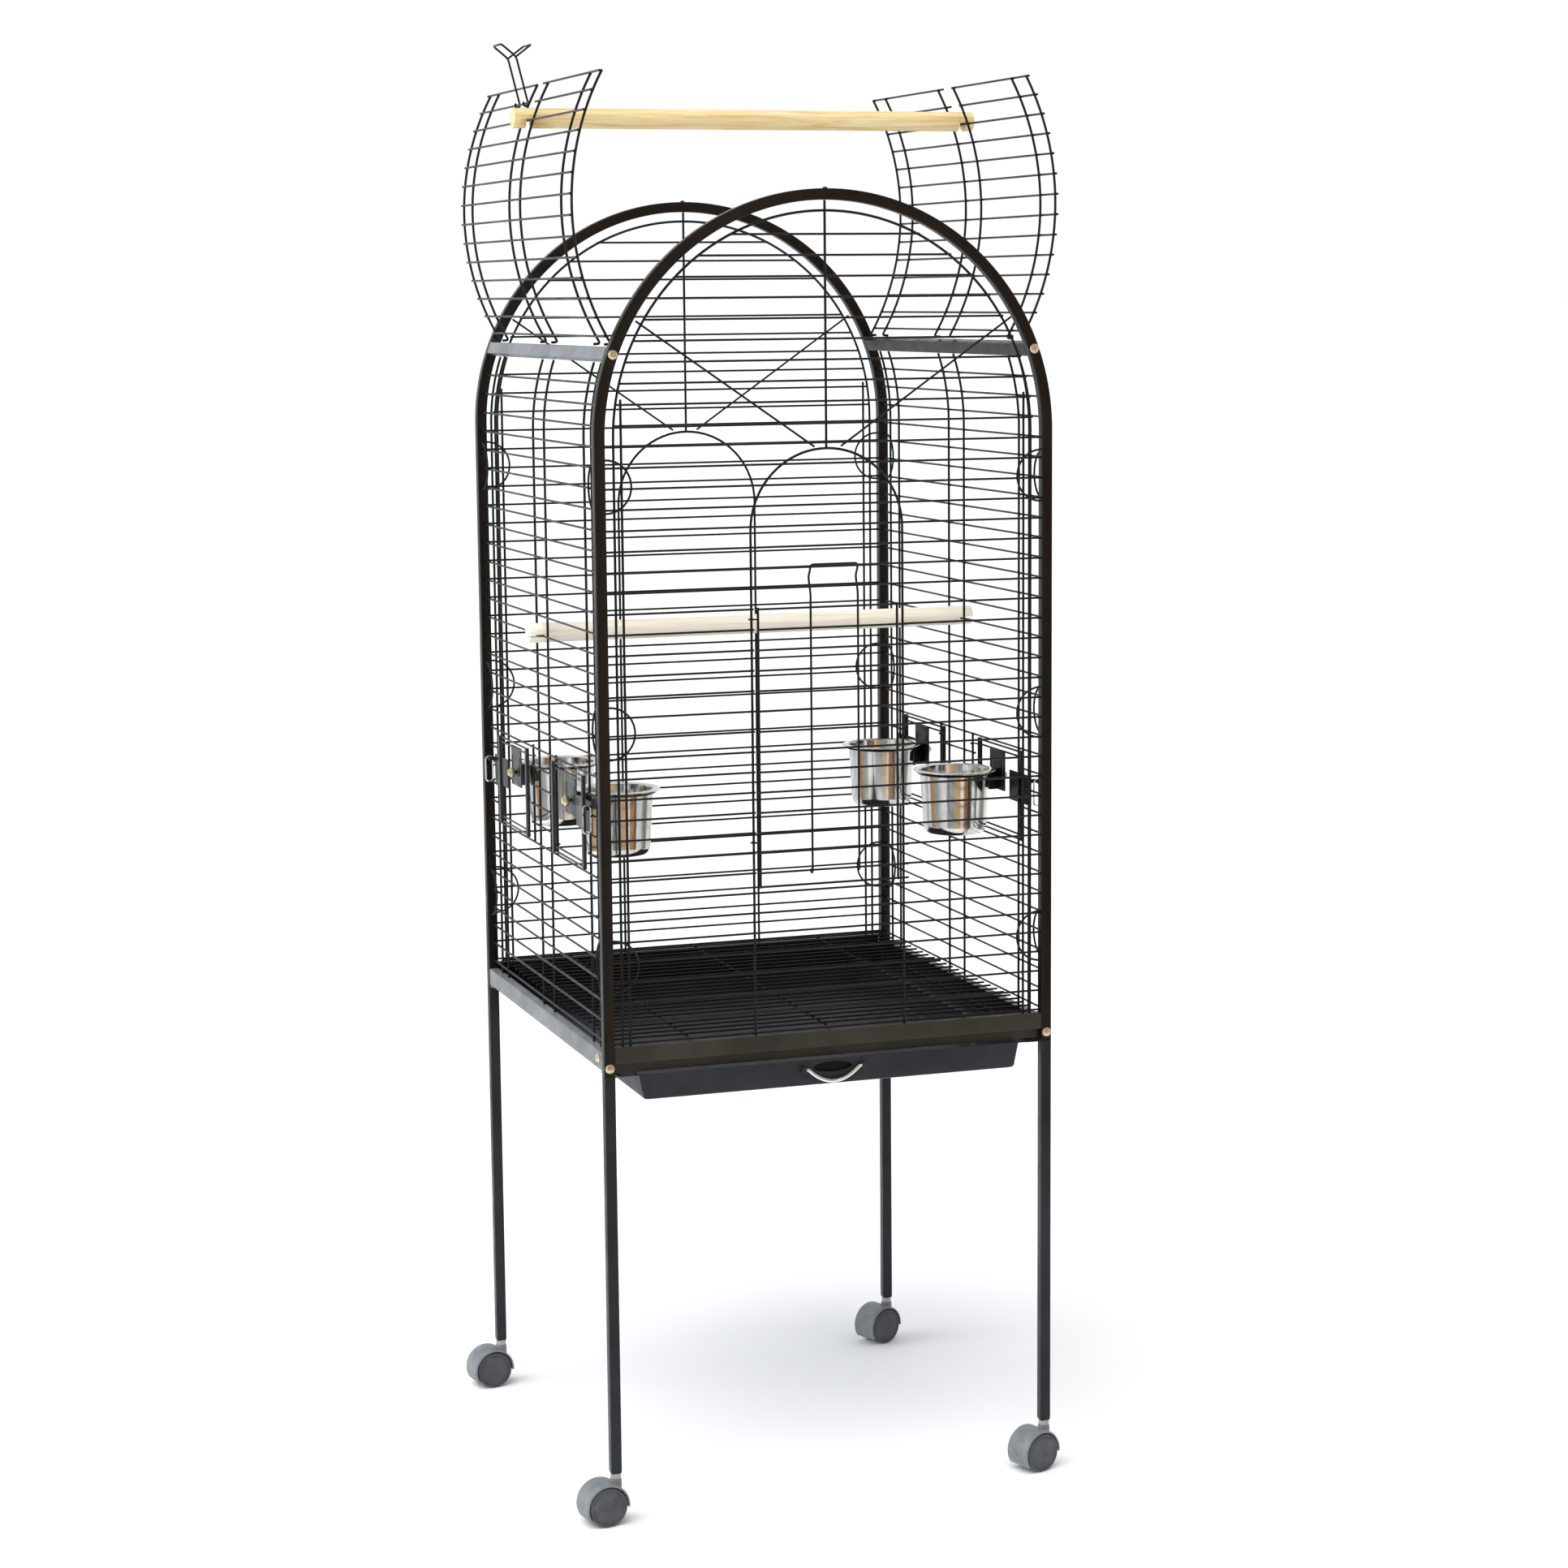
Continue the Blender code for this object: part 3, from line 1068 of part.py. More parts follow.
def feeder(corner, side, end):
    """One feeder door with its cup holder, cup and hanging latch bail."""
    hinge = (side * (SIDE_ROW - LAP), end * FEED_HINGE)

    def at(along, x, z):
        """World point from a distance along the door, a distance out and a height."""
        return (side * x, end * (FEED_HINGE + along), z)

    def block(along, out, tall):
        """A box from three ranges: along the door, out from the centre, height."""
        one = at(along[0], out[0], tall[0])
        two = at(along[1], out[1], tall[1])
        return box([min(one[i], two[i]) for i in range(3)], [max(one[i], two[i]) for i in range(3)])

    leaf_in = LEAF_X - LEAF_THICK / 2
    leaf_out = LEAF_X + LEAF_THICK / 2
    deep = (leaf_in, leaf_in + LEAF_BAR_DEEP)
    near = block((LEAF_NEAR - LEAF_BAR / 2, LEAF_NEAR + LEAF_BAR / 2), deep, (LEAF_LOW, LEAF_HIGH))
    far = block((LEAF_FAR - LEAF_BAR / 2, LEAF_FAR + LEAF_BAR / 2), deep, (LEAF_LOW, LEAF_HIGH))
    end_plate = block(END_PLATE, (leaf_in, leaf_out), (END_PLATE_LOW, END_PLATE_HIGH))
    lines = [[at(LEAF_NEAR, LEAF_X, z), at(LEAF_FAR, LEAF_X, z)] for z in LEAF_WIRES]
    leaf = united([near, far, end_plate])
    combine(leaf, wires(lines, ROW_R))
    lug = block((END_PLATE[1] - LUG_PIN_THICK, END_PLATE[1]), (LEAF_X, LUG_PIN_X + LUG_PIN_HEAD),
                (LUG_PIN_Z - LUG_PIN_HEAD, LUG_PIN_Z + LUG_PIN_HEAD))
    combine(leaf, lug)
    pin_start = END_PLATE[1] - LUG_PIN_THICK / 2
    pin_end = END_PLATE[1] + LUG_PIN_LONG
    pin = rod(at((pin_start + pin_end) / 2, LUG_PIN_X, LUG_PIN_Z), (0, 1, 0), LUG_PIN_R, pin_end - pin_start,
              PIN_SIDES)
    combine(leaf, pin)
    head = block((pin_end - LUG_PIN_CAP, pin_end), (LUG_PIN_X - LUG_PIN_HEAD, LUG_PIN_X + LUG_PIN_HEAD),
                 (LUG_PIN_Z - LUG_PIN_HEAD, LUG_PIN_Z + LUG_PIN_HEAD))
    combine(leaf, head)
    eyes = []
    for z in (row_z(FEED_LOW + 1) - ROW_PITCH / 2, row_z(FEED_HIGH) - ROW_PITCH / 2):
        ring = arc((0, 0), EYE_R, EYE_FROM_DEG, EYE_TO_DEG, EYE_STEPS)
        spots = [at(across, SIDE_ROW - LAP + out, z) for across, out in ring]
        spots = [at(LEAF_NEAR, LEAF_X, z)] + spots
        eyes.append(spots)
    combine(leaf, wires(eyes, EYE_WIRE))
    door = finish(leaf, corner + "_feeder_door", PLATE_PAINT, pivot=(hinge[0], hinge[1], LEAF_LOW))

    bail_y = END_PLATE[1] + LUG_PIN_LONG / 2 - BAIL_ASIDE
    top = LUG_PIN_Z + LUG_PIN_R + BAIL_WIRE + AIR
    ring = arc((LUG_PIN_X, top - BAIL_HALF), BAIL_HALF, 0, 180, BAIL_STEPS)
    ring += arc((LUG_PIN_X, top - BAIL_LONG + BAIL_HALF), BAIL_HALF, 180, 360, BAIL_STEPS)
    bail = wires([[at(bail_y, x, z) for x, z in ring]], BAIL_WIRE, closed=True)
    spot = at(bail_y, LUG_PIN_X, LUG_PIN_Z)
    finish(bail, corner + "_feeder_latch", CHROME, pivot=spot, parent=door)

    plate_out = leaf_in + (LEAF_THICK / 2 - ROW_R) - AIR
    plate_in = plate_out - PLATE_THICK
    ring_z = CUP_TOP - CUP_RIM_TALL - AIR - RING_WIRE
    plate_body = block((CUP_ALONG - PLATE_HALF, CUP_ALONG + PLATE_HALF), (plate_in, plate_out), (PLATE_LOW, PLATE_HIGH))
    arm = block((CUP_ALONG - ARM_HALF, CUP_ALONG + ARM_HALF), (CUP_X + RING_R, plate_in + PLATE_THICK / 2),
                (ring_z - ARM_TALL + ROW_R, ring_z + ROW_R))
    combine(plate_body, arm)
    centre = at(CUP_ALONG, CUP_X, ring_z)
    circle = arc((centre[0], centre[1]), RING_R, 0, 360 - 360 / RING_STEPS, RING_STEPS - 1)
    combine(plate_body, wires([[(x, y, ring_z) for x, y in circle]], RING_WIRE, closed=True))
    pin_from = plate_in + PLATE_THICK / 2
    knob_to = leaf_out + AIR + SCREW_LONG
    knob_from = leaf_out + AIR
    shank = rod(at(CUP_ALONG, (pin_from + knob_from + SCREW_ROOT) / 2, SCREW_Z), (1, 0, 0), SCREW_PIN_R,
                knob_from - pin_from + SCREW_ROOT, SCREW_PIN_SIDES)
    combine(plate_body, shank)
    knob = rod(at(CUP_ALONG, (knob_from + knob_to) / 2, SCREW_Z), (1, 0, 0), SCREW_R, SCREW_LONG, SCREW_SIDES)
    combine(plate_body, knob)
    finish(plate_body, corner + "_cup_holder", PLATE_PAINT, pivot=(hinge[0], hinge[1], PLATE_LOW), parent=door)

    wall = CUP_WALL
    lip_z = CUP_TOP - CUP_RIM_TALL
    profile = [
        (0.0, CUP_BOTTOM + wall), (CUP_FOOT_R - CUP_ROUND, CUP_BOTTOM + wall),
        (CUP_FOOT_R - wall, CUP_BOTTOM + CUP_ROUND), (CUP_BODY_R - wall, CUP_TOP),
        (CUP_RIM_R - CUP_LIP_ROUND, CUP_TOP), (CUP_RIM_R, lip_z),
        (CUP_BODY_R, lip_z), (CUP_FOOT_R, CUP_BOTTOM + CUP_ROUND),
        (CUP_FOOT_R - CUP_ROUND + wall, CUP_BOTTOM), (0.0, CUP_BOTTOM),
    ]
    spot = at(CUP_ALONG, CUP_X, 0)
    cup = turned(profile, CUP_STEPS, Matrix.Translation(spot))
    finish(cup, corner + "_cup", STEEL, pivot=at(CUP_ALONG, CUP_X, CUP_BOTTOM), parent=door, smooth=35)


def centre_on_origin():
    """Move the root so that the evaluated pieces are centred in X and Y."""
    bpy.context.view_layer.update()
    graph = bpy.context.evaluated_depsgraph_get()
    low = Vector((1e9, 1e9, 1e9))
    high = -low
    for item in CAGE.objects:
        if item.type != "MESH":
            continue
        shape = item.evaluated_get(graph)
        for vertex in shape.to_mesh().vertices:
            spot = item.matrix_world @ vertex.co
            low = Vector([min(low[i], spot[i]) for i in range(3)])
            high = Vector([max(high[i], spot[i]) for i in range(3)])
        shape.to_mesh_clear()
    ROOT.location = (-(low.x + high.x) / 2, -(low.y + high.y) / 2, 0.0)
    bpy.context.view_layer.update()


for end_name, end_sign in ENDS:
    arch_frame(end_name + "_arch_frame", end_sign)
    end_rail(end_name + "_lower_rail", end_sign, RAIL_BOTTOM if end_sign < 0 else LEDGE_Z - SHEET)
    end_grille(end_name + "_grille", end_sign, end_name == "front")
for side_name, side_sign in SIDES:
    upper_rail(side_name + "_upper_rail", side_sign)
    side_rail(side_name + "_lower_rail", side_sign)
    side_grille(side_name + "_side_grille", side_sign)
LEFT_FLAP = top_flap("left_top_flap", -1)
top_flap("right_top_flap", 1)
top_latch(LEFT_FLAP)
perches()
front_door()
floor_grate()
tray()
for end_name, end_sign in ENDS:
    for side_name, side_sign in SIDES:
        corner_name = end_name + "_" + side_name
        leg(corner_name + "_leg", side_sign, end_sign)
        castor(corner_name, side_sign, end_sign)
        feeder(corner_name, side_sign, end_sign)
        outward = (0, end_sign, 0)
        low_seat = (side_sign * POST, end_sign * HALF, BOLT_Z)
        bolt(corner_name + "_lower_bolt", low_seat, outward, BOLT_SHANK - AIR)
        bolt(corner_name + "_upper_bolt", upper_seat(side_sign, end_sign * HALF), outward, BOLT_SHANK)
for side_name, side_sign in SIDES:
    bolt(side_name + "_side_bolt", (side_sign * RAIL_FACE, -SIDE_BOLT_Y, SIDE_BOLT_Z), (side_sign, 0, 0), SIDE_SHANK)
centre_on_origin()
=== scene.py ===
"""Looks of the bird breeding cage: round wires with weld spots, rounded tubes,
polished cups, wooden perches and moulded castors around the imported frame.

Metres, +Z up, the front faces -Y.  Shapes are built around the cage's own middle
and moved by SHIFT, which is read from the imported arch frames.
"""
import math

import bmesh
import bpy
from mathutils import Matrix, Vector
from mathutils.geometry import intersect_line_line


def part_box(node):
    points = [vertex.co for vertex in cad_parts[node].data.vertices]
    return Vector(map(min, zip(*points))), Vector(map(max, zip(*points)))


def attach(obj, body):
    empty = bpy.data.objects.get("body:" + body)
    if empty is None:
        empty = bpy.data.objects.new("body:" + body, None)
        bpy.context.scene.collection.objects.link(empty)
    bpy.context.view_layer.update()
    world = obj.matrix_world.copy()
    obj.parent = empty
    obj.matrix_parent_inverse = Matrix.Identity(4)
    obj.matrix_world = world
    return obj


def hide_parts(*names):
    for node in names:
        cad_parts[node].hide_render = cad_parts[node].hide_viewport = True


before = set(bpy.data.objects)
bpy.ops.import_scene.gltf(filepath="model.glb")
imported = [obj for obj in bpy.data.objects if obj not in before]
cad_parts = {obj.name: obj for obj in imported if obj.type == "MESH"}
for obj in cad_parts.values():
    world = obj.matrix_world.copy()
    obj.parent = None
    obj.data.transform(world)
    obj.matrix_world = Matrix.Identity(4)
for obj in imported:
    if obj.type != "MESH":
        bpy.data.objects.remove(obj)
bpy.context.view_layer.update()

# Sizes of the frame
HALF = 0.260                    # half the width over the tubes
TUBE = 0.012
AIR = 0.0003                    # gap between pieces that rest on each other
POST = HALF - TUBE / 2
INNER = HALF - TUBE
BUTT = INNER - AIR              # where a piece butting on a post ends
ARCH_Z = 1.178
POST_BOTTOM = 0.4975
UPPER_DEG = 20.4
UPPER_TALL = 0.014
RAIL_TOP = 0.529
RAIL_STEP = 0.511
RAIL_BOTTOM = 0.4995
SIDE_TOP = 0.522
SIDE_STEP = 0.502
RAIL_FACE = HALF - 0.0006       # outer face of the upper band
RAIL_BACK = HALF - 0.0100       # outer face of the set-back band
RAIL_INSIDE = INNER + 0.0006    # inner edge of the top flange
LEDGE_Z = 0.4950
LEDGE_TIP = INNER - 0.0140
SHEET = 0.0012
LEG_BOTTOM = 0.055
BOLT_Z = 0.507
BLOCK = (0.006, 0.008)          # depth and half height of a side rail's end block

# Wires
ROW_R = 0.0012
BAR_R = 0.00145
WELD = 0.00235                  # distance between the axes of two welded wires
BEAD = 0.0017                   # radius of a weld bead
SMALL_BEAD = 0.0015
BEAD_REACH = 0.0034             # axes further apart than this aren't welded
ROW_PITCH = 0.022
ROW_FIRST = 0.5323
ROWS_STRAIGHT = 30              # rows of an end panel below the arch centre
ROWS_END = 40
ROWS_SIDE = 33
SIDE_ROW = 0.2532
FRONT_ROW = 0.2545
EDGE_R = 0.237
OUTLINE_X = 0.0865
OUTLINE_SPRING = 1.0775
EXTRA = (0.2286, 1.220)         # upright beside the edge wire, and its top
DIAGONAL = ((0.0150, 1.1660), (0.2120, 1.3010))
OVER = 0.0018                   # a row runs this far past its last bar
LOOP_R = 0.028
LOOP_Z = (0.617, 0.868, 1.129)
MIDDLE = 0.0235
FEED_HINGE = 0.050
JAMB = 0.187
SIDE_OUTER = 0.216
FEED_ROWS = range(9, 13)        # rows cut out for the feeder openings
DOOR_ROWS = range(8, 22)
DOOR_PLANE = FRONT_ROW + 0.0028
DOOR_BARS = (-0.080, 0.079)
DOOR_REACH = (-0.0814, 0.0905)
DOOR_BOTTOM = 0.693
DOOR_LATCH_R = 0.0013
FOOT = RAIL_TOP + AIR
SIDE_FOOT = SIDE_TOP + AIR
EYE_R = 0.0027
EYE_WIRE = 0.0009

# Flaps
FLAP_X = 0.2335
FLAP_Z = 1.277
FLAP_TIP = (0.2393, 1.558)
FLAP_R = 0.285
FLAP_ROW_R = FLAP_R + 0.0017
FLAP_EDGES = (0.236, 0.195)
FLAP_ROWS = 14
FLAP_PITCH = 0.0218
FLAP_GAP = 0.0135               # half the gap in the two end rows
FLAP_FOOT = (0.0065, 0.0024)    # how far the bent feet run out, and down
TOP_LATCH_Y = (0.0285, 0.0645)
TOP_LATCH_Z = 1.6035
TOP_LATCH_R = 0.0012

# Castors
HUB = (-0.015, 0.022)           # wheel centre behind and above the floor point
HOOD_R = 0.0254
HOOD_IN = 0.0232
HOOD_HALF = 0.0168
HOOD_DEG = (-5, 213)
WEB_HALF = 0.0030
WEB_LOW_R = 0.0150
WHEEL_R = 0.022

# Feeder doors, holders and cups; distances along the door are from its hinge
LEAF = 0.2556
LEAF_THICK = 0.0016
LEAF_BAR_DEEP = 0.0040
LEAF_ROWS = (0.7135, 0.7190, 0.8080, 0.8135)
LEAF_Z = (0.7120, 0.8150)
PLATE_END = 0.1610
PIN_X = 0.2625
PIN_Z = 0.7840
PIN_R = 0.0010
PIN_HEAD = 0.0022
PIN_LONG = 0.0075
BAIL_R = 0.0044
CUP_ALONG = 0.069
CUP_X = 0.2005
CUP_TOP = 0.7900
CUP_LOW = 0.7160
CUP_WALL = 0.0010
RING_R = 0.0015
SCREW_Z = 0.779

SHARP_DEG = 38                  # edges sharper than this stay sharp

CORNERS = {"front_left": (-1, -1), "front_right": (1, -1), "rear_left": (-1, 1), "rear_right": (1, 1)}
SWIVEL_DEG = {"front_left": 7.0, "front_right": 18.0, "rear_left": 8.0, "rear_right": 22.0}

low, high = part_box("front_arch_frame")
SHIFT = Vector(((low[0] + high[0]) / 2, low[1] + HALF, 0.0))


# ---------- materials

def linear(colour):
    """Linear RGBA of an sRGB hex colour."""
    parts = [int(colour[i:i + 2], 16) / 255 for i in (1, 3, 5)]
    return [v / 12.92 if v <= 0.04045 else ((v + 0.055) / 1.055) ** 2.4 for v in parts] + [1.0]


class Look:
    """A Principled material whose noise nodes share one set of coordinates."""

    def __init__(self, name, metallic=0.0, specular=0.5):
        self.made = bpy.data.materials.new(name)
        self.made.use_nodes = True
        self.nodes = self.made.node_tree.nodes
        self.links = self.made.node_tree.links
        self.shader = self.nodes["Principled BSDF"]
        self.shader.inputs["Metallic"].default_value = metallic
        self.shader.inputs["Specular IOR Level"].default_value = specular
        self.place = self.nodes.new("ShaderNodeTexCoord").outputs["Object"]

    def stretched(self, scale):
        """Coordinates scaled by axis, for grain that runs one way."""
        node = self.nodes.new("ShaderNodeMapping")
        node.inputs["Scale"].default_value = scale
        self.links.new(self.place, node.inputs["Vector"])
        return node.outputs["Vector"]

    def noise(self, scale, detail=3.0, rough=0.5, place=None, distortion=0.0):
        node = self.nodes.new("ShaderNodeTexNoise")
        node.inputs["Scale"].default_value = scale
        node.inputs["Detail"].default_value = detail
        node.inputs["Roughness"].default_value = rough
        node.inputs["Distortion"].default_value = distortion
        self.links.new(place or self.place, node.inputs["Vector"])
        return node.outputs["Fac"]

    def ramp(self, value, stops):
        """Colour ramp over a value; the stops are (position, hex colour)."""
        node = self.nodes.new("ShaderNodeValToRGB")
        keys = node.color_ramp.elements
        keys.remove(keys[1])
        keys[0].position = stops[0][0]
        keys[0].color = linear(stops[0][1])
        for spot, colour in stops[1:]:
            keys.new(spot).color = linear(colour)
        self.links.new(value, node.inputs["Fac"])
        return node.outputs["Color"]

    def ranged(self, value, low_in, high_in, low_out, high_out):
        node = self.nodes.new("ShaderNodeMapRange")
        ends = (("From Min", low_in), ("From Max", high_in), ("To Min", low_out), ("To Max", high_out))
        for key, number in ends:
            node.inputs[key].default_value = number
        self.links.new(value, node.inputs["Value"])
        return node.outputs["Result"]

    def mixed(self, share, first, second):
        """Mix of two colours by a share; each is a socket or a hex colour."""
        node = self.nodes.new("ShaderNodeMix")
        node.data_type = "RGBA"
        self.links.new(share, node.inputs["Factor"])
        for key, colour in (("A", first), ("B", second)):
            socket = [s for s in node.inputs if s.name == key and s.type == "RGBA"][0]
            if isinstance(colour, str):
                socket.default_value = linear(colour)
            else:
                self.links.new(colour, socket)
        return [s for s in node.outputs if s.type == "RGBA"][0]

    def set(self, name, value):
        self.links.new(value, self.shader.inputs[name])

    def bumped(self, heights):
        """Bump maps, one after another: (height, strength, distance)."""
        normal = None
        for height, strength, distance in heights:
            node = self.nodes.new("ShaderNodeBump")
            node.inputs["Strength"].default_value = strength
            node.inputs["Distance"].default_value = distance
            self.links.new(height, node.inputs["Height"])
            if normal:
                self.links.new(normal, node.inputs["Normal"])
            normal = node.outputs["Normal"]
        self.links.new(normal, self.shader.inputs["Normal"])
        return self.made


def powder_coat(name, dark, light, chip, rough=0.34, sheen=0.25):
    """Satin powder coat: orange peel, cloudy tone, rubbed patches and small chips."""
    look = Look(name, specular=sheen)
    cloud = look.ramp(look.noise(14, 4, 0.6), [(0.34, dark), (0.66, light)])
    chips = look.ranged(look.noise(160, 6, 0.7), 0.715, 0.74, 0.0, 1.0)
    look.set("Base Color", look.mixed(chips, cloud, chip))
    look.set("Roughness", look.ranged(look.noise(38, 5, 0.65), 0.3, 0.7, rough - 0.07, rough + 0.12))
    return look.bumped([(look.noise(520, 2), 0.10, 0.0004), (look.noise(60, 3), 0.08, 0.0010)])


def plated(name, dark, light, rough, streaks, scale):
    """Bright metal with fine draw lines and a little tarnish."""
    look = Look(name, metallic=1.0)
    look.set("Base Color", look.ramp(look.noise(30, 4, 0.6), [(0.35, dark), (0.65, light)]))
    lines = look.noise(1.0, 4, 0.6, look.stretched(scale))
    look.set("Roughness", look.ranged(lines, 0.3, 0.7, rough * 0.7, rough * 1.5))
    return look.bumped([(lines, streaks, 0.0003), (look.noise(26, 2), 0.015, 0.0008)])


def moulded(name, dark, light, rough):
    """Moulded plastic with a fine spark-eroded texture and dusty patches."""
    look = Look(name, specular=0.45)
    cloud = look.ramp(look.noise(46, 4, 0.6), [(0.36, dark), (0.64, light)])
    dust = look.ranged(look.noise(95, 6, 0.7), 0.60, 0.75, 0.0, 0.35)
    look.set("Base Color", look.mixed(dust, cloud, "#8f8d88"))
    look.set("Roughness", look.ranged(look.noise(60, 4), 0.3, 0.7, rough - 0.06, rough + 0.10))
    return look.bumped([(look.noise(1500, 2), 0.18, 0.0002), (look.noise(90, 3), 0.06, 0.0008)])


def timber(name, light, mid, dark, knot):
    """Bare pine with grain along X, pores and a knot or two."""
    look = Look(name, specular=0.3)
    grain = look.noise(1.0, 6, 0.62, look.stretched((9, 190, 190)), 0.6)
    rings = look.noise(1.0, 3, 0.5, look.stretched((3.2, 60, 60)), 1.4)
    tone = look.ramp(grain, [(0.30, dark), (0.48, mid), (0.68, light)])
    warm = look.ranged(rings, 0.52, 0.70, 0.0, 0.55)
    tone = look.mixed(warm, tone, mid)
    spots = look.ranged(look.noise(11, 3, 0.5, look.stretched((1.0, 1.6, 1.6))), 0.66, 0.74, 0.0, 0.75)
    look.set("Base Color", look.mixed(spots, tone, knot))
    look.set("Roughness", look.ranged(grain, 0.3, 0.7, 0.66, 0.52))
    pores = look.noise(1.0, 4, 0.5, look.stretched((40, 900, 900)))
    return look.bumped([(grain, 0.22, 0.0005), (pores, 0.12, 0.0002)])


TUBE_COAT = powder_coat("tube_coat", "#0c0a08", "#16110e", "#38332f", 0.30, 0.24)
WIRE_COAT = powder_coat("wire_coat", "#0e0e10", "#171719", "#444448", 0.34, 0.22)
# Front rail: a lighter olive-grey than the rear rail's coat, as painted reflection of the warm floor
FRONT_RAIL_REFLECTION_COAT = powder_coat("front_rail_painted_reflection", "#26241e", "#343129", "#524e44", 0.40, 0.22)
# Left rails: pale blue-grey and glossier, as painted sheen of the light from the left; the right rails use
# the dark tube coat
LEFT_RAIL_PAINTED_SHEEN_COAT = powder_coat("left_rail_painted_sheen", "#5a5d60", "#74777a", "#a2a5a9", 0.34, 0.45)
LEG_COAT = powder_coat("leg_coat", "#131518", "#1e2226", "#45484d", 0.36, 0.25)
TRAY_COAT = powder_coat("tray_coat", "#1b1c21", "#282a30", "#45474d", 0.42, 0.22)
# Darker, duller copy of the tray paint for the ring in the tray's recess: painted shade
RECESS_SHADE_COAT = powder_coat("recess_painted_shade", "#0b0b0d", "#141417", "#2c2d31", 0.45, 0.12)
# Lit and shaded copies of the fitting paint: the dark, dull one is painted shade for the right fittings, the
# lighter, glossier one painted sheen for the left fittings
SHADED_FITTING_COAT = powder_coat("fitting_coat", "#0b0b0c", "#151517", "#3c3c3e", 0.38, 0.12)
LIT_FITTING_COAT = powder_coat("fitting_coat_painted_sheen", "#17181a", "#26282b", "#5a5b5e", 0.30, 0.55)
BRASS = plated("brass_bolts", "#bda983", "#e4d8ba", 0.28, 0.03, (60, 60, 60))
STEEL = plated("cup_steel", "#cfcfcc", "#e6e6e3", 0.11, 0.002, (260, 260, 5))
CHROME = plated("bright_chrome", "#d6d7da", "#eeeeef", 0.09, 0.02, (90, 90, 90))
PINE = timber("perch_pine", "#ead9b0", "#dfc690", "#c49f66", "#b57f49")
DOWEL = timber("pale_dowel", "#f3ede2", "#eee5d4", "#dfd0b4", "#d6bf9c")
HOOD = moulded("castor_hood", "#64686b", "#787c80", 0.44)
WHEEL = moulded("castor_wheel", "#36383b", "#45474a", 0.44)
BUSHING = moulded("castor_bushing", "#8f918e", "#adaeaa", 0.40)


# ---------- shapes

def meshed(shape):
    """The mesh of a bmesh, which is freed."""
    mesh = bpy.data.meshes.new("shape")
    shape.to_mesh(mesh)
    shape.free()
    return mesh


def placed(name, data):
    """A new object in the scene."""
    made = bpy.data.objects.new(name, data)
    bpy.context.scene.collection.objects.link(made)
    return made


def evaluated(carrier):
    """The mesh of an object as it is shown."""
    bpy.context.view_layer.update()
    return bpy.data.meshes.new_from_object(carrier.evaluated_get(bpy.context.evaluated_depsgraph_get()))


def softened(path, reach, steps=4, closed=False):
    """A path with its corners rounded; reach is how far each rounding starts."""
    path = [Vector(p) for p in path]
    count = len(path)
    done = []
    for i, corner in enumerate(path):
        if not closed and i in (0, count - 1):
            done.append(corner)
            continue
        back = path[i - 1] - corner
        ahead = path[(i + 1) % count] - corner
        size = reach[i] if isinstance(reach, (list, tuple)) else reach
        one = corner + back.normalized() * min(size, back.length * 0.48)
        two = corner + ahead.normalized() * min(size, ahead.length * 0.48)
        for k in range(steps + 1):
            t = k / steps
            done.append(one * (1 - t) ** 2 + corner * 2 * t * (1 - t) + two * t ** 2)
    return done


def arc(centre, radius, start_deg, end_deg, steps):
    """Points on an arc in a plane, as pairs."""
    points = []
    for i in range(steps + 1):
        angle = math.radians(start_deg + (end_deg - start_deg) * i / steps)
        points.append((centre[0] + radius * math.cos(angle), centre[1] + radius * math.sin(angle)))
    return points


def wires(paths, radius, closed=False, resolution=2):
    """Round wires along paths, as a mesh."""
    curve = bpy.data.curves.new("wires", "CURVE")
    curve.dimensions = "3D"
    curve.bevel_depth = radius
    curve.bevel_resolution = resolution
    curve.use_fill_caps = True
    for path in paths:
        spline = curve.splines.new("POLY")
        spline.points.add(len(path) - 1)
        for point, place in zip(spline.points, path):
            point.co = (place[0], place[1], place[2], 1.0)
        spline.use_cyclic_u = closed
    carrier = placed("wires", curve)
    mesh = evaluated(carrier)
    bpy.data.objects.remove(carrier, do_unlink=True)
    return mesh


def weld_spots(rows, bars, size=BEAD):
    """A small bead wherever a row and a bar meet."""
    shape = bmesh.new()
    for bar in bars:
        for i in range(len(bar) - 1):
            a, b = Vector(bar[i]), Vector(bar[i + 1])
            for row in rows:
                c, d = Vector(row[0]), Vector(row[-1])
                met = intersect_line_line(a, b, c, d)
                if not met or (met[0] - met[1]).length > BEAD_REACH:
                    continue
                on_bar = (met[0] - a).dot(b - a) / (b - a).length_squared
                on_row = (met[1] - c).dot(d - c) / (d - c).length_squared
                if -1e-6 <= on_bar < 1 and -0.001 <= on_row <= 1.001:
                    spot = Matrix.Translation((met[0] + met[1]) / 2)
                    bmesh.ops.create_icosphere(shape, subdivisions=1, radius=size, matrix=spot)
    return meshed(shape)


def skinned(rings):
    """A closed skin over rings of points, capped at both ends."""
    shape = bmesh.new()
    lines = [[shape.verts.new(point) for point in ring] for ring in rings]
    count = len(lines[0])
    for ring, after in zip(lines, lines[1:]):
        for i in range(count):
            k = (i + 1) % count
            shape.faces.new((ring[i], ring[k], after[k], after[i]))
    shape.faces.new(lines[0])
    shape.faces.new(list(reversed(lines[-1])))
    bmesh.ops.recalc_face_normals(shape, faces=shape.faces)
    return meshed(shape)


def swept(outline, frames):
    """An outline carried through frames, each one a function from 2D to 3D."""
    return skinned([[place(*point) for point in outline] for place in frames])


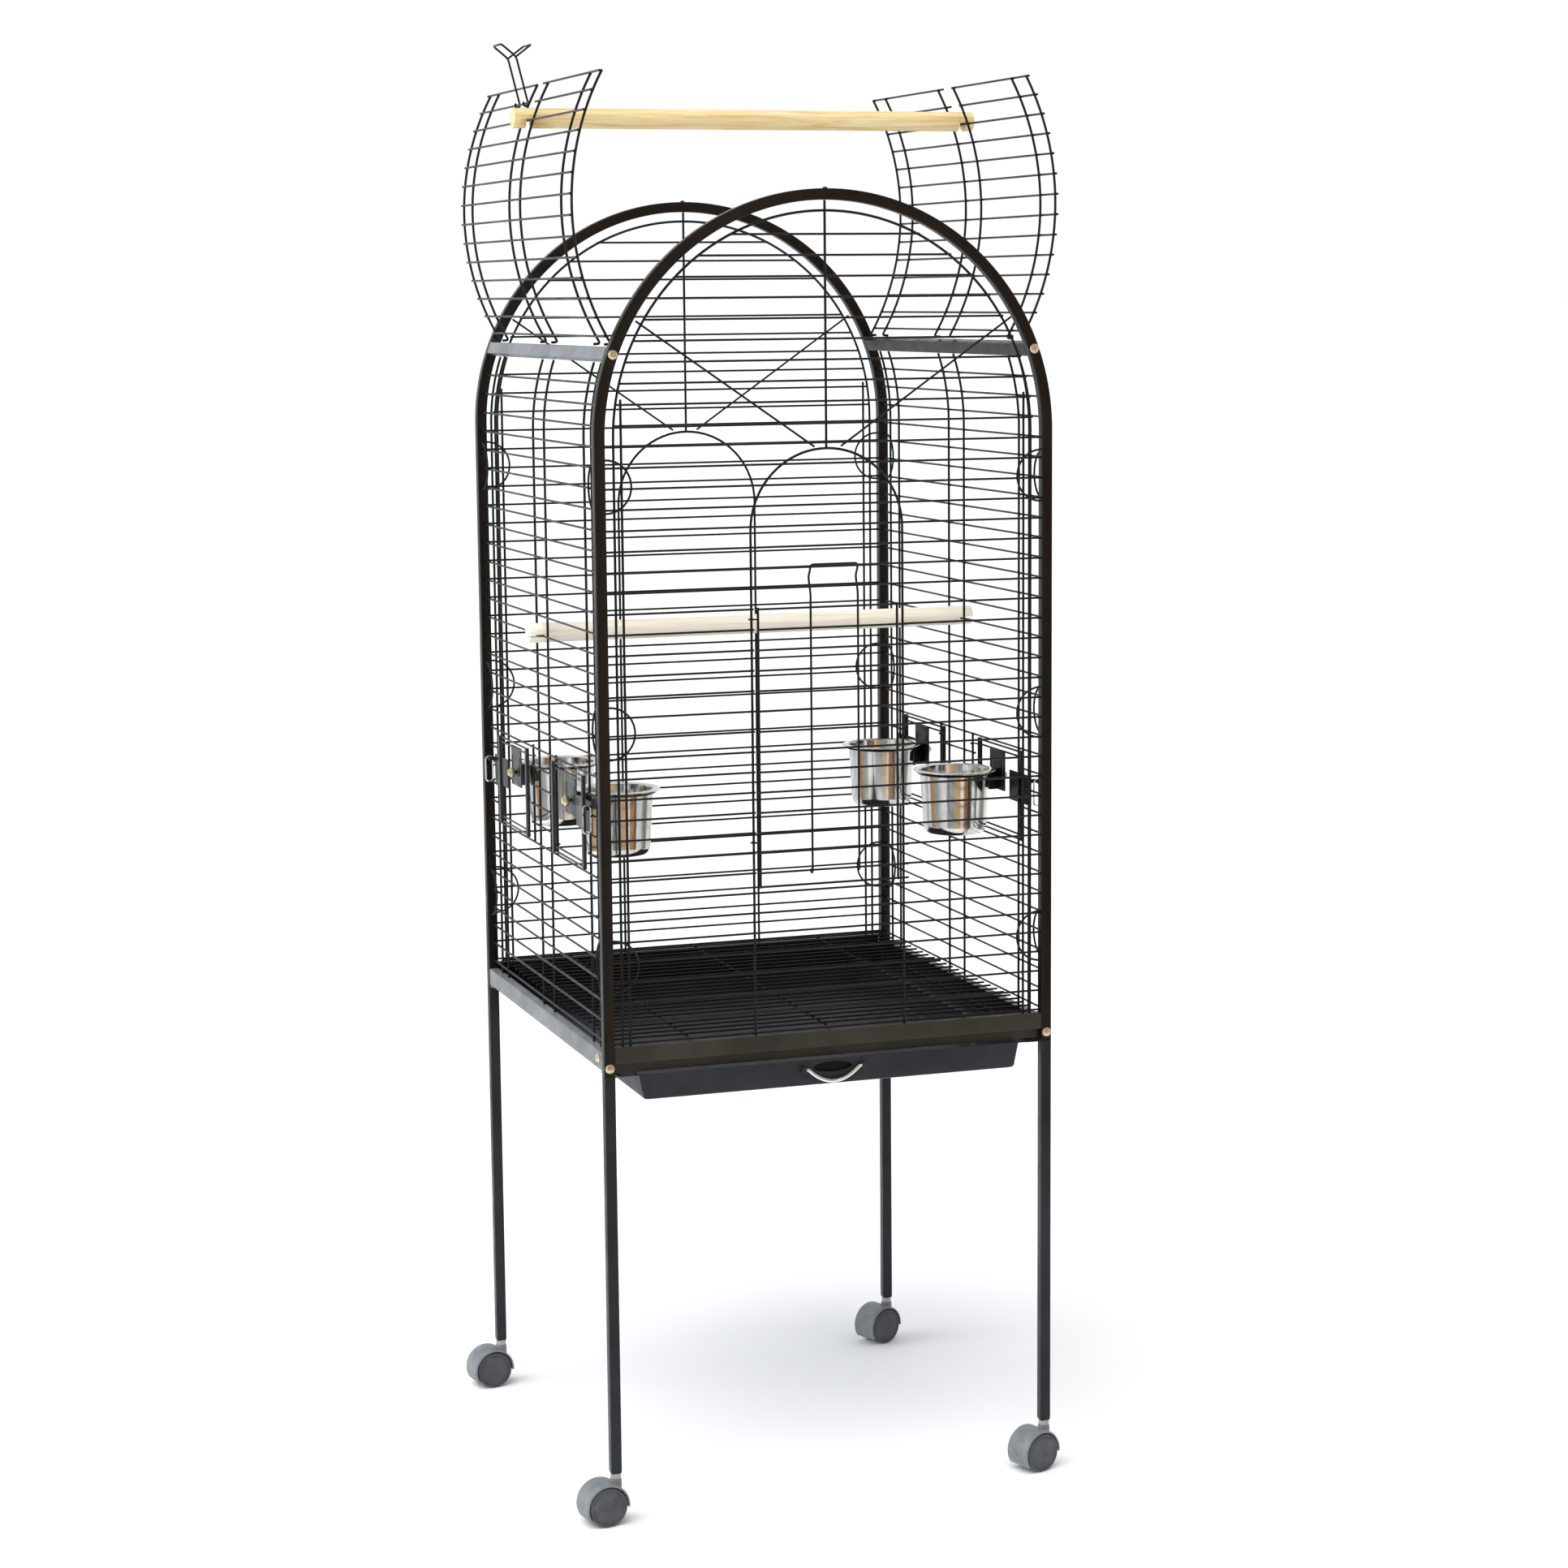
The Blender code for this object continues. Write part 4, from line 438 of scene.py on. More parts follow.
def rounded(points, reach):
    """A closed outline with rounded corners, as pairs."""
    return [(p.x, p.y) for p in softened([(x, y, 0) for x, y in points], reach, closed=True)]


def square(wide, tall, corner=0.0016):
    """Outline of a tube with rounded corners."""
    w, t = wide / 2, tall / 2
    return rounded([(-w, -t), (w, -t), (w, t), (-w, t)], corner)


def turned(profile, steps, place):
    """A turned shape from a profile of (radius, height), from top to bottom."""
    shape = bmesh.new()
    turns = [math.tau * i / steps for i in range(steps)]
    rings = []
    for radius, height in profile:
        spots = [(radius * math.cos(t), radius * math.sin(t), height) for t in (turns if radius else [0])]
        rings.append([shape.verts.new(spot) for spot in spots])
    for ring, after in zip(rings, rings[1:]):
        for i in range(steps):
            k = (i + 1) % steps
            corners = (ring[i % len(ring)], ring[k % len(ring)], after[k % len(after)], after[i % len(after)])
            shape.faces.new(dict.fromkeys(corners))
    bmesh.ops.recalc_face_normals(shape, faces=shape.faces)
    mesh = meshed(shape)
    mesh.transform(place)
    return mesh


def soft_box(one, two, corner=0.0004, segments=2):
    """A box between two corners with rounded edges."""
    shape = bmesh.new()
    bmesh.ops.create_cube(shape, size=1.0)
    spread = [abs(two[i] - one[i]) for i in range(3)]
    middle = [(two[i] + one[i]) / 2 for i in range(3)]
    bmesh.ops.scale(shape, vec=spread, verts=shape.verts)
    bmesh.ops.translate(shape, vec=middle, verts=shape.verts)
    bmesh.ops.bevel(shape, geom=list(shape.edges), offset=min(corner, min(spread) * 0.4), segments=segments,
                    affect="EDGES", profile=0.5)
    return meshed(shape)


def facing(axis):
    """Rotation that turns +Z onto an axis."""
    return Vector((0, 0, 1)).rotation_difference(Vector(axis)).to_matrix().to_4x4()


def cut(mesh, tools):
    """A mesh with each tool's mesh taken away."""
    base = placed("base", mesh)
    for tool_mesh in tools:
        tool = placed("tool", tool_mesh)
        step = base.modifiers.new("cut", "BOOLEAN")
        step.operation = "DIFFERENCE"
        step.solver = "EXACT"
        step.object = tool
        done = evaluated(base)
        base.modifiers.clear()
        base.data = done
        bpy.data.objects.remove(tool, do_unlink=True)
    bpy.data.objects.remove(base, do_unlink=True)
    return done


def piece(name, meshes, body, look, nodes=()):
    """One visible piece made of meshes, riding on a body."""
    shape = bmesh.new()
    for mesh in meshes:
        shape.from_mesh(mesh)
    bmesh.ops.translate(shape, vec=SHIFT, verts=shape.verts)
    joined = meshed(shape)
    joined.name = name
    for face in joined.polygons:
        face.use_smooth = True
    joined.set_sharp_from_angle(angle=math.radians(SHARP_DEG))
    joined.materials.clear()
    joined.materials.append(look)
    made = placed(name, joined)
    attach(made, body)
    if nodes:
        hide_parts(*nodes)


def row_z(index):
    """Height of a row, counted from the floor."""
    return ROW_FIRST + index * ROW_PITCH


def upper_seat(side, y):
    """Middle of an upper rail at a place along the cage."""
    angle = math.radians(UPPER_DEG)
    return Vector((side * POST * math.cos(angle), y, ARCH_Z + POST * math.sin(angle)))


# ---------- frames, rails, legs

def arch_frame(name, end):
    """Bent tube with rounded corners and the weld nub on its apex."""
    y = end * POST
    spots = [((-POST, POST_BOTTOM), (-1, 0))]
    steps = 96
    for i in range(steps + 1):
        angle = math.pi * (1 - i / steps)
        out = (math.cos(angle), math.sin(angle))
        spots.append(((POST * out[0], ARCH_Z + POST * out[1]), out))
    spots.append(((POST, POST_BOTTOM), (1, 0)))

    def carried(spot, out):
        return lambda across, along: (spot[0] + out[0] * across, y + along, spot[1] + out[1] * across)

    tube = swept(square(TUBE, TUBE), [carried(spot, out) for spot, out in spots])
    nub = turned([(0, 0.0019), (0.0016, 0.0016), (0.0028, 0.0004), (0.0033, -0.0006), (0, -0.0006)], 16,
                 Matrix.Translation((0, y, ARCH_Z + HALF)))
    piece(name + "_tube", [tube, nub], "cage", TUBE_COAT, [name])


def straight(outline, place_at, ends):
    """An outline carried straight between two ends."""
    return swept(outline, [place_at(end) for end in ends])


def end_rail(name, end, bottom, look):
    """Folded rail across the front or rear."""
    back, face, top = RAIL_BACK, RAIL_FACE, RAIL_INSIDE
    path = [(top, RAIL_TOP), (face, RAIL_TOP), (face, RAIL_STEP), (back, RAIL_STEP),
            (back, bottom), (back - SHEET, bottom), (back - SHEET, RAIL_STEP + SHEET),
            (face - SHEET, RAIL_STEP + SHEET), (face - SHEET, RAIL_TOP - SHEET),
            (top, RAIL_TOP - SHEET)]
    rounds = [0.0003, 0.0018, 0.0018, 0.0006, 0.0003, 0.0003, 0.0018, 0.0006, 0.0006, 0.0003]
    rail = straight(rounded(path, rounds), lambda x: (lambda out, up: (x, end * out, up)), (-BUTT, BUTT))
    piece(name + "_sheet", [rail], "cage", look, [name])


def side_rail(name, side, look):
    """Folded side rail with its tray ledge and end blocks."""
    face, back, inside = RAIL_FACE, RAIL_BACK, RAIL_INSIDE
    path = [(inside, SIDE_TOP), (face, SIDE_TOP), (face, SIDE_STEP), (back, SIDE_STEP),
            (back, LEDGE_Z - SHEET), (LEDGE_TIP, LEDGE_Z - SHEET), (LEDGE_TIP, LEDGE_Z),
            (back - SHEET, LEDGE_Z), (back - SHEET, SIDE_STEP + SHEET),
            (face - SHEET, SIDE_STEP + SHEET), (face - SHEET, SIDE_TOP - SHEET),
            (inside, SIDE_TOP - SHEET)]
    rounds = [0.0003, 0.0018, 0.0018, 0.0006, 0.0018, 0.0003, 0.0003, 0.0006, 0.0018, 0.0006, 0.0006, 0.0003]
    parts = [straight(rounded(path, rounds), lambda y: (lambda out, up: (side * out, y, up)), (-BUTT, BUTT))]
    for end in (-1, 1):
        parts.append(soft_box((side * inside, end * (BUTT - BLOCK[0]), BOLT_Z - BLOCK[1]),
                              (side * (face - SHEET / 2), end * BUTT, BOLT_Z + BLOCK[1]), 0.0005))
    piece(name + "_sheet", parts, "cage", look, [name])


def upper_rail(name, side, look):
    """Tube between the arches, turned to lie along the arch."""
    turn = Matrix.Rotation(-side * math.radians(UPPER_DEG), 4, "Y")
    place = Matrix.Translation(upper_seat(side, 0)) @ turn
    rail = straight(square(TUBE, UPPER_TALL), lambda y: (lambda out, up: place @ Vector((out, y, up))),
                    (-BUTT, BUTT))
    piece(name + "_tube", [rail], "cage", look, [name])


def leg(corner, side, end):
    """Leg tube with its crimped foot."""
    x, y = side * POST, end * POST
    heights = ((POST_BOTTOM - AIR, 1.0), (LEG_BOTTOM + 0.004, 1.0), (LEG_BOTTOM + 0.0008, 0.97),
               (LEG_BOTTOM, 0.90))

    def carried(z, share):
        return lambda across, along: (x + across * share, y + along * share, z)

    tube = swept(square(TUBE, TUBE), [carried(z, share) for z, share in heights])
    piece(corner + "_leg_tube", [tube], "cage", LEG_COAT, [corner + "_leg"])


def bolt(name, seat, axis):
    """Domed head, its rim and a little of its shank."""
    profile = [(0, 0.0032), (0.0016, 0.00310), (0.0031, 0.00265), (0.0043, 0.0019), (0.0051, 0.0010),
               (0.0054, 0.0005), (0.0054, 0.0003), (0.0020, 0.0003), (0.0020, -0.0040), (0, -0.0040)]
    head = turned(profile, 28, Matrix.Translation(seat) @ facing(axis))
    piece(name + "_head", [head], "cage", BRASS, [name])


# ---------- wire panels

def loops(plane_of):
    """Half-round loops at both edges of a panel."""
    paths = []
    for side in (-1, 1):
        for z in LOOP_Z:
            spots = arc((side * (BUTT - 0.0004), z), LOOP_R, 90, 90 + side * 180, 24)
            paths.append([plane_of(across, up) for across, up in spots])
    return paths


def end_panel(name, end, door):
    """Front or rear panel with its edge wire, outline, diagonals and loops."""
    plane, behind, ahead = end * FRONT_ROW, end * (FRONT_ROW - WELD), end * (FRONT_ROW + WELD)
    rows = []
    for i in range(ROWS_END):
        z = row_z(i)
        reach = BUTT if i < ROWS_STRAIGHT else math.sqrt(EDGE_R ** 2 - (z - ARCH_Z) ** 2) + OVER
        if door and i in DOOR_ROWS:
            gate = OUTLINE_X - OVER
            rows += [[(-reach, plane, z), (-gate, plane, z)], [(gate, plane, z), (reach, plane, z)]]
        else:
            rows.append([(-reach, plane, z), (reach, plane, z)])
    edge = [(-EDGE_R, behind, FOOT)] + [(x, behind, z) for x, z in arc((0, ARCH_Z), EDGE_R, 180, 0, 72)]
    edge.append((EDGE_R, behind, FOOT))
    outline = [(-OUTLINE_X, behind, FOOT)]
    outline += [(x, behind, z) for x, z in arc((0, OUTLINE_SPRING), OUTLINE_X, 180, 0, 36)]
    outline.append((OUTLINE_X, behind, FOOT))
    bars = [edge, outline]
    for side in (-1, 1):
        bars.append([(side * EXTRA[0], behind, FOOT), (side * EXTRA[0], behind, EXTRA[1])])
    bars.append([(0, behind, OUTLINE_SPRING + OUTLINE_X + BAR_R), (0, behind, ARCH_Z + INNER - AIR)])
    slants = [[(side * x, ahead, z) for x, z in DIAGONAL] for side in (-1, 1)]
    rings = loops(lambda across, up: (across, ahead, up))
    parts = [wires(rows, ROW_R), wires(bars, BAR_R), wires(slants + rings, ROW_R),
             weld_spots(rows, bars), weld_spots(rows, slants + rings, SMALL_BEAD)]
    piece(name + "_wires", parts, "cage", WIRE_COAT, [name])


def side_panel(name, side):
    """Side panel whose top follows the arches inward."""
    rows = []
    near, far = FEED_HINGE + OVER, JAMB - OVER
    for i in range(ROWS_SIDE):
        z = row_z(i)
        x = side * (SIDE_ROW if z <= ARCH_Z else math.sqrt(SIDE_ROW ** 2 - (z - ARCH_Z) ** 2))
        spans = ((-BUTT, -far), (-near, near), (far, BUTT)) if i in FEED_ROWS else ((-BUTT, BUTT),)
        rows += [[(x, a, z), (x, b, z)] for a, b in spans]
    inside = SIDE_ROW - WELD
    last = UPPER_DEG - math.degrees((UPPER_TALL / 2 + AIR) / POST) - 0.2
    bars = []
    for y in (-SIDE_OUTER, -JAMB, -MIDDLE, MIDDLE, JAMB, SIDE_OUTER):
        bend = arc((0, ARCH_Z), inside, 0, last, 14)
        bars.append([(side * inside, y, SIDE_FOOT)] + [(side * across, y, up) for across, up in bend])
    for y in (-FEED_HINGE, FEED_HINGE):
        bars.append([(side * inside, y, row_z(8) - OVER), (side * inside, y, row_z(13) + OVER)])
    rings = loops(lambda across, up: (side * (SIDE_ROW + WELD), across, up))
    parts = [wires(rows, ROW_R), wires(bars, BAR_R), wires(rings, ROW_R), weld_spots(rows, bars),
             weld_spots(rows, rings, SMALL_BEAD)]
    piece(name + "_wires", parts, "cage", WIRE_COAT, [name])


def flap_circle():
    """Centre of a flap's arc, and its first and last angle."""
    foot, tip = Vector((FLAP_X, FLAP_Z)), Vector(FLAP_TIP)
    half = (tip - foot).length / 2
    inward = Vector((-(tip - foot).y, (tip - foot).x)).normalized()
    centre = (foot + tip) / 2 + inward * math.sqrt(FLAP_R ** 2 - half ** 2)
    ends = [math.degrees(math.atan2(p.y - centre.y, p.x - centre.x)) for p in (foot, tip)]
    return centre, ends[0], ends[1]


FLAP_CENTRE, FLAP_START, FLAP_STOP = flap_circle()


def flap_spot(row):
    """Place of a row across a flap, counted from the tip."""
    angle = math.radians(FLAP_STOP) - row * FLAP_PITCH / FLAP_R
    return (FLAP_CENTRE.x + FLAP_ROW_R * math.cos(angle), FLAP_CENTRE.y + FLAP_ROW_R * math.sin(angle))


def top_flap(name, side, body):
    """Curved flap: rows along the cage and three pairs of bars with bent feet."""
    rows = []
    reach = FLAP_EDGES[0] + OVER
    for i in range(FLAP_ROWS):
        x, z = flap_spot(i)
        spans = ((-reach, -FLAP_GAP), (FLAP_GAP, reach)) if i < 2 else ((-reach, reach),)
        rows += [[(side * x, a, z), (side * x, b, z)] for a, b in spans]
    rail = math.radians(UPPER_DEG)
    out, down = FLAP_FOOT
    toe = (FLAP_X + out * math.cos(rail) + down * math.sin(rail),
           FLAP_Z + out * math.sin(rail) - down * math.cos(rail))
    bars = []
    for y in (-FLAP_EDGES[0], -FLAP_EDGES[1], -MIDDLE, MIDDLE, FLAP_EDGES[1], FLAP_EDGES[0]):
        bend = arc(FLAP_CENTRE, FLAP_ROW_R - WELD, FLAP_START, FLAP_STOP + math.degrees(OVER / FLAP_R), 40)
        path = [(side * toe[0], y, toe[1])] + [(side * x, y, z) for x, z in bend]
        bars.append([tuple(p) for p in softened(path, [0] + [0.003] + [0.0001] * 40, 3)])
    parts = [wires(rows, ROW_R), wires(bars, BAR_R), weld_spots(rows, bars)]
    piece(name + "_wires", parts, body, WIRE_COAT, [name])


def top_latch():
    """Wire latch standing on a row of the left flap."""
    x, z = flap_spot(1)
    pivot = Vector((-x, z))
    lean = math.radians(14.0)
    up = Vector((-math.sin(lean), math.cos(lean)))
    out = Vector((-math.cos(lean), -math.sin(lean)))
    eye = ROW_R + TOP_LATCH_R + AIR
    feet = []
    for y in TOP_LATCH_Y:
        curl = []
        for turn in range(240, -1, -20):
            angle = math.radians(turn)
            spot = pivot + eye * (-out * math.cos(angle) - up * math.sin(angle))
            curl.append((spot.x, y, spot.y))
        top = pivot - out * eye + up * 0.052
        feet.append((curl, (top.x, y, top.y)))
    (curl_0, crown_0), (curl_1, crown_1) = feet
    outer, inner = [[crown_0, *[(x, y, TOP_LATCH_Z) for y in TOP_LATCH_Y], crown_1] for x in (-0.277, -0.243)]
    rounds = [0] * len(curl_0) + [0.004] * 4 + [0] * len(curl_1)
    parts = [wires([softened(curl_0 + outer + curl_1[::-1], rounds)], TOP_LATCH_R),
             wires([softened(inner, 0.004)], 0.0011)]
    piece("top_latch_wire", parts, "top_latch", WIRE_COAT, ["top_latch"])


def front_door():
    """Wire door with its hinge eyes, and the latch bar in front of it."""
    plane, behind = -DOOR_PLANE, -(DOOR_PLANE - WELD)
    heights = [DOOR_BOTTOM] + [row_z(i) for i in DOOR_ROWS]
    rows = [[(x, plane, z) for x in DOOR_REACH] for z in heights]
    bars = [[(x, behind, DOOR_BOTTOM - OVER), (x, behind, heights[-1] + OVER)] for x in DOOR_BARS]
    hinge = (-OUTLINE_X, -(FRONT_ROW - 0.0029))
    eyes = []
    for index in (9, 20):
        z = row_z(index) + ROW_PITCH / 2
        ring = [(DOOR_BARS[0], behind)] + arc(hinge, EYE_R, -85, -345, 20)
        eyes.append([(x, y, z) for x, y in ring])
    parts = [wires(rows, ROW_R), wires(bars, BAR_R), wires(eyes, EYE_WIRE), weld_spots(rows, bars)]
    piece("front_door_wires", parts, "front_door", WIRE_COAT, ["front_door"])
    front = -(DOOR_PLANE + ROW_R + AIR + DOOR_LATCH_R)
    pivot_z = row_z(DOOR_ROWS[0])
    reach = ROW_R + AIR + DOOR_LATCH_R
    sides = []
    for x in (-0.022, 0.032):
        path = []
        for turn in range(-20, 136, 31):
            angle = math.radians(turn)
            path.append((x, plane + reach * math.cos(angle), pivot_z - reach * math.sin(angle)))
        path.append((x, front, pivot_z))
        path += [(x, front, 1.0090), (x, front + 0.0068, 1.0270), (x, front + 0.0012, 1.0345),
                 (x, front, 1.0405)]
        sides.append(path)
    count = len(sides[0])
    rounds = [0.0003] * (count - 4) + [0.004, 0.0045, 0.002, 0.004]
    bar = softened(sides[0] + sides[1][::-1], rounds + rounds[::-1])
    piece("door_latch_wire", [wires([bar], DOOR_LATCH_R)], "door_latch", WIRE_COAT,
          ["door_latch"])


def floor_grate():
    """Wire floor above the tray."""
    cross_z = RAIL_TOP + AIR + BAR_R + 0.0008
    wire_z = cross_z + 0.0021
    places = [-0.2360 + 0.472 * i / 24 for i in range(25)]
    rows = [[(-0.2450, y, wire_z), (0.2450, y, wire_z)] for y in places]
    bars = [[(x, -0.2503, cross_z - AIR), (x, 0.2503, cross_z - AIR)] for x in (-0.160, 0, 0.160)]
    parts = [wires(rows, ROW_R), wires(bars, BAR_R), weld_spots(rows, bars)]
    piece("floor_grate_wires", parts, "cage", WIRE_COAT, ["floor_grate"])


# ---------- perches, tray, castors, feeders

def perch(name, centre, length, body, look, notches):
    """Turned dowel with eased ends and its cuts."""
    half, r = length / 2, 0.011
    profile = [(0, half), (r - 0.0012, half), (r - 0.0003, half - 0.0005), (r, half - 0.0015)]
    for k in range(1, 24):
        uneven = r * (1 - 0.006 * math.sin(7.3 * k))
        profile.append((uneven, half - 0.0015 - (length - 0.003) * k / 24))
    profile += [(radius, -height) for radius, height in reversed(profile[:4])]
    dowel = turned(profile, 40, Matrix.Translation(centre) @ Matrix.Rotation(math.radians(90), 4, "Y"))
    notched = cut(dowel, [soft_box(a, b, 0.0002) for a, b in notches])
    piece(name + "_dowel", [notched], body, look, [name])


def perches():
    """The inner perch slit at its ends and the top perch notched from below."""
    z = row_z(19)
    slits = [((s * 0.2515, -0.02, z - 0.0015), (s * 0.30, 0.02, z + 0.0015)) for s in (-1, 1)]
    perch("inner_perch", (0, 0, 0.953), 0.536, "cage", DOWEL, slits)
    seat_x, seat_z = flap_spot(2)
    notches = [((s * (seat_x + 0.0015), -0.02, seat_z - 0.03), (s * (seat_x - 0.0064), 0.02, seat_z + 0.0015))
               for s in (-1, 1)]
    perch("top_perch", (-0.002, 0, seat_z + 0.003), 0.544, "top_perch", PINE, notches)


def shell_box(top_x, low_x, y_low, y_high, z_low, z_high, thick, corner):
    """Open pressed box: rounded upright corners and bottom edge, one sheet thick."""
    levels = [(z_high, 0.0), (z_low + corner, 0.0), (z_low + corner * 0.35, 0.25), (z_low, 1.0)]
    rings = []
    for wall in (0.0, thick):
        ring_set = []
        for z, inset in levels:
            z_here = z if (wall == 0 or z == z_high) else z + thick
            share = (z - z_low) / (z_high - z_low)
            wide = low_x + (top_x - low_x) * share - wall - inset * corner
            back, front = y_high - wall - inset * corner, y_low + wall + inset * corner
            corners = ((-wide, front), (wide, front), (wide, back), (-wide, back))
            ring_set.append(softened([(x, y, z_here) for x, y in corners], corner, closed=True))
        rings.append(ring_set)
    return skinned(list(reversed(rings[0])) + rings[1])


def oval(centre, across, tall, deep):
    """Upright oval plug along Y."""
    outline = [(across * math.cos(t), tall * math.sin(t)) for t in (math.tau * i / 40 for i in range(40))]
    ends = (centre[1] - deep / 2, centre[1] + deep / 2)
    return straight(outline, lambda y: (lambda a, b: (centre[0] + a, y, centre[2] + b)), ends)


def tray():
    """Pressed tray with side lips, the recess behind the handle and the bail."""
    front = -0.2585
    box = shell_box(0.2215, 0.2155, front, 0.236, 0.469, 0.4975, 0.0010, 0.0030)
    parts = [cut(box, [oval((0, front, 0.4885), 0.0225, 0.0058, 0.008)])]
    # The ring round the recess gets a darker, duller coat than the tray: painted shade in the recess.
    dish = oval((0, front + 0.0030, 0.4885), 0.0228, 0.0061, 0.0040)
    recess = cut(dish, [oval((0, front + 0.0015, 0.4885), 0.0215, 0.0050, 0.0045)])
    piece("tray_recess_painted_shade", [recess], "tray", RECESS_SHADE_COAT)
    for side in (-1, 1):
        parts.append(soft_box((side * 0.2195, front + 0.006, LEDGE_Z + AIR),
                              (side * 0.2400, 0.235, LEDGE_Z + 0.0015)))
        lug, middle = 0.0025, side * (0.032 + 0.0025 + AIR)
        parts.append(soft_box((middle - lug, front - 0.0080, 0.4840), (middle + lug, front + 0.0005, 0.4920),
                              0.0012, 3))
    piece("tray_pan", parts, "tray", TRAY_COAT, ["tray"])
    pin_y, pin_z = front - 0.0042, 0.488
    path = [(-0.0368, pin_y, pin_z)]
    for i in range(33):
        share = i / 16 - 1
        path.append((share * 0.0298, pin_y, pin_z - 0.0145 * (1 - share ** 2)))
    path.append((0.0368, pin_y, pin_z))
    piece("tray_bail", [wires([path], 0.0022, resolution=4)], "tray_handle", CHROME,
          ["tray_handle"])


def castor(corner, side, end):
    """Hood with its web, the pale bushing and the twin wheel."""
    turn = Matrix.Rotation(math.radians(SWIVEL_DEG[corner]), 4, "Z")
    place = Matrix.Translation((side * POST, end * POST, 0)) @ turn
    axle = Matrix.Translation((HUB[0], 0, HUB[1])) @ Matrix.Rotation(math.radians(90), 4, "X")
    low, high = HOOD_DEG
    across = ((0, -HOOD_HALF), (0.55, -HOOD_HALF), (0.86, -HOOD_HALF + 0.0005), (1, -HOOD_HALF + 0.0014),
              (1, HOOD_HALF - 0.0014), (0.86, HOOD_HALF - 0.0005), (0.55, HOOD_HALF), (0, HOOD_HALF))
    rings = []
    outer, inner = arc(HUB, HOOD_R, low, high, 60), arc(HUB, HOOD_IN, high, low, 60)
    for (ox, oz), (ix, iz) in zip(outer, reversed(inner)):
        rings.append([(ix + (ox - ix) * share, y, iz + (oz - iz) * share) for share, y in across])
    hood = skinned(rings)
    web_line = arc(HUB, HOOD_IN + 0.0004, low, high, 44) + arc(HUB, WEB_LOW_R, high, 360 + low, 16)
    web = swept(web_line, [lambda a, b: (a, -WEB_HALF, b), lambda a, b: (a, WEB_HALF, b)])
    web = cut(web, [turned([(0, 0.01), (0.0042, 0.01), (0.0042, -0.01), (0, -0.01)], 24, axle)])
    collar = turned([(0, 0.0487), (0.0059, 0.0487), (0.0064, 0.0480), (0.0068, 0.0450), (0.0068, 0.0285),
                     (0, 0.0285)], 32, Matrix.Identity(4))
    for mesh in (hood, web, collar):
        mesh.transform(place)
    body = corner + "_castor"
    piece(corner + "_hood", [hood, web, collar], body, HOOD, [corner + "_castor_housing"])
    bush = turned([(0, 0.0547), (0.0056, 0.0547), (0.0060, 0.0540), (0.0060, 0.0492), (0.0054, 0.0487),
                   (0, 0.0487)], 32, place)
    piece(corner + "_bushing", [bush], body, BUSHING)
    inner_face, outer_face, r = 0.00345, 0.01745, WHEEL_R
    profile = [(0, outer_face - 0.0007), (0.0040, outer_face - 0.0007), (0.0046, outer_face - 0.0002),
               (0.0168, outer_face), (0.0176, outer_face - 0.0007), (0.0188, outer_face - 0.0007),
               (0.0194, outer_face), (r - 0.0014, outer_face - 0.0001), (r - 0.0005, outer_face - 0.0008),
               (r, outer_face - 0.0020), (r, inner_face + 0.0006), (r - 0.0005, inner_face),
               (0.0030, inner_face)]
    profile += [(radius, -height) for radius, height in reversed(profile)]
    piece(corner + "_wheel_pair", [turned(profile, 56, place @ axle)], corner + "_wheel", WHEEL,
          [corner + "_castor_wheel"])


def cup_profile():
    """Drawn cup from the inside middle over the rolled rim to the outside middle."""
    top, low = CUP_TOP, CUP_LOW
    return [(0, low + CUP_WALL), (0.0270, low + CUP_WALL), (0.0315, low + 0.0022), (0.0340, low + 0.0050),
            (0.0352, low + 0.0100), (0.0382, top - 0.0035), (0.0387, top - 0.0012), (0.0402, top - 0.0003),
            (0.0455, top), (0.0467, top - 0.0003), (0.0474, top - 0.0011), (0.0474, top - 0.0017),
            (0.0468, top - 0.0022), (0.0458, top - 0.0021), (0.0425, top - 0.0022), (0.0398, top - 0.0026),
            (0.0393, top - 0.0050), (0.0361, low + 0.0100), (0.0349, low + 0.0045), (0.0322, low + 0.0012),
            (0.0275, low), (0.0230, low), (0.0225, low + 0.0004), (0, low + 0.0004)]


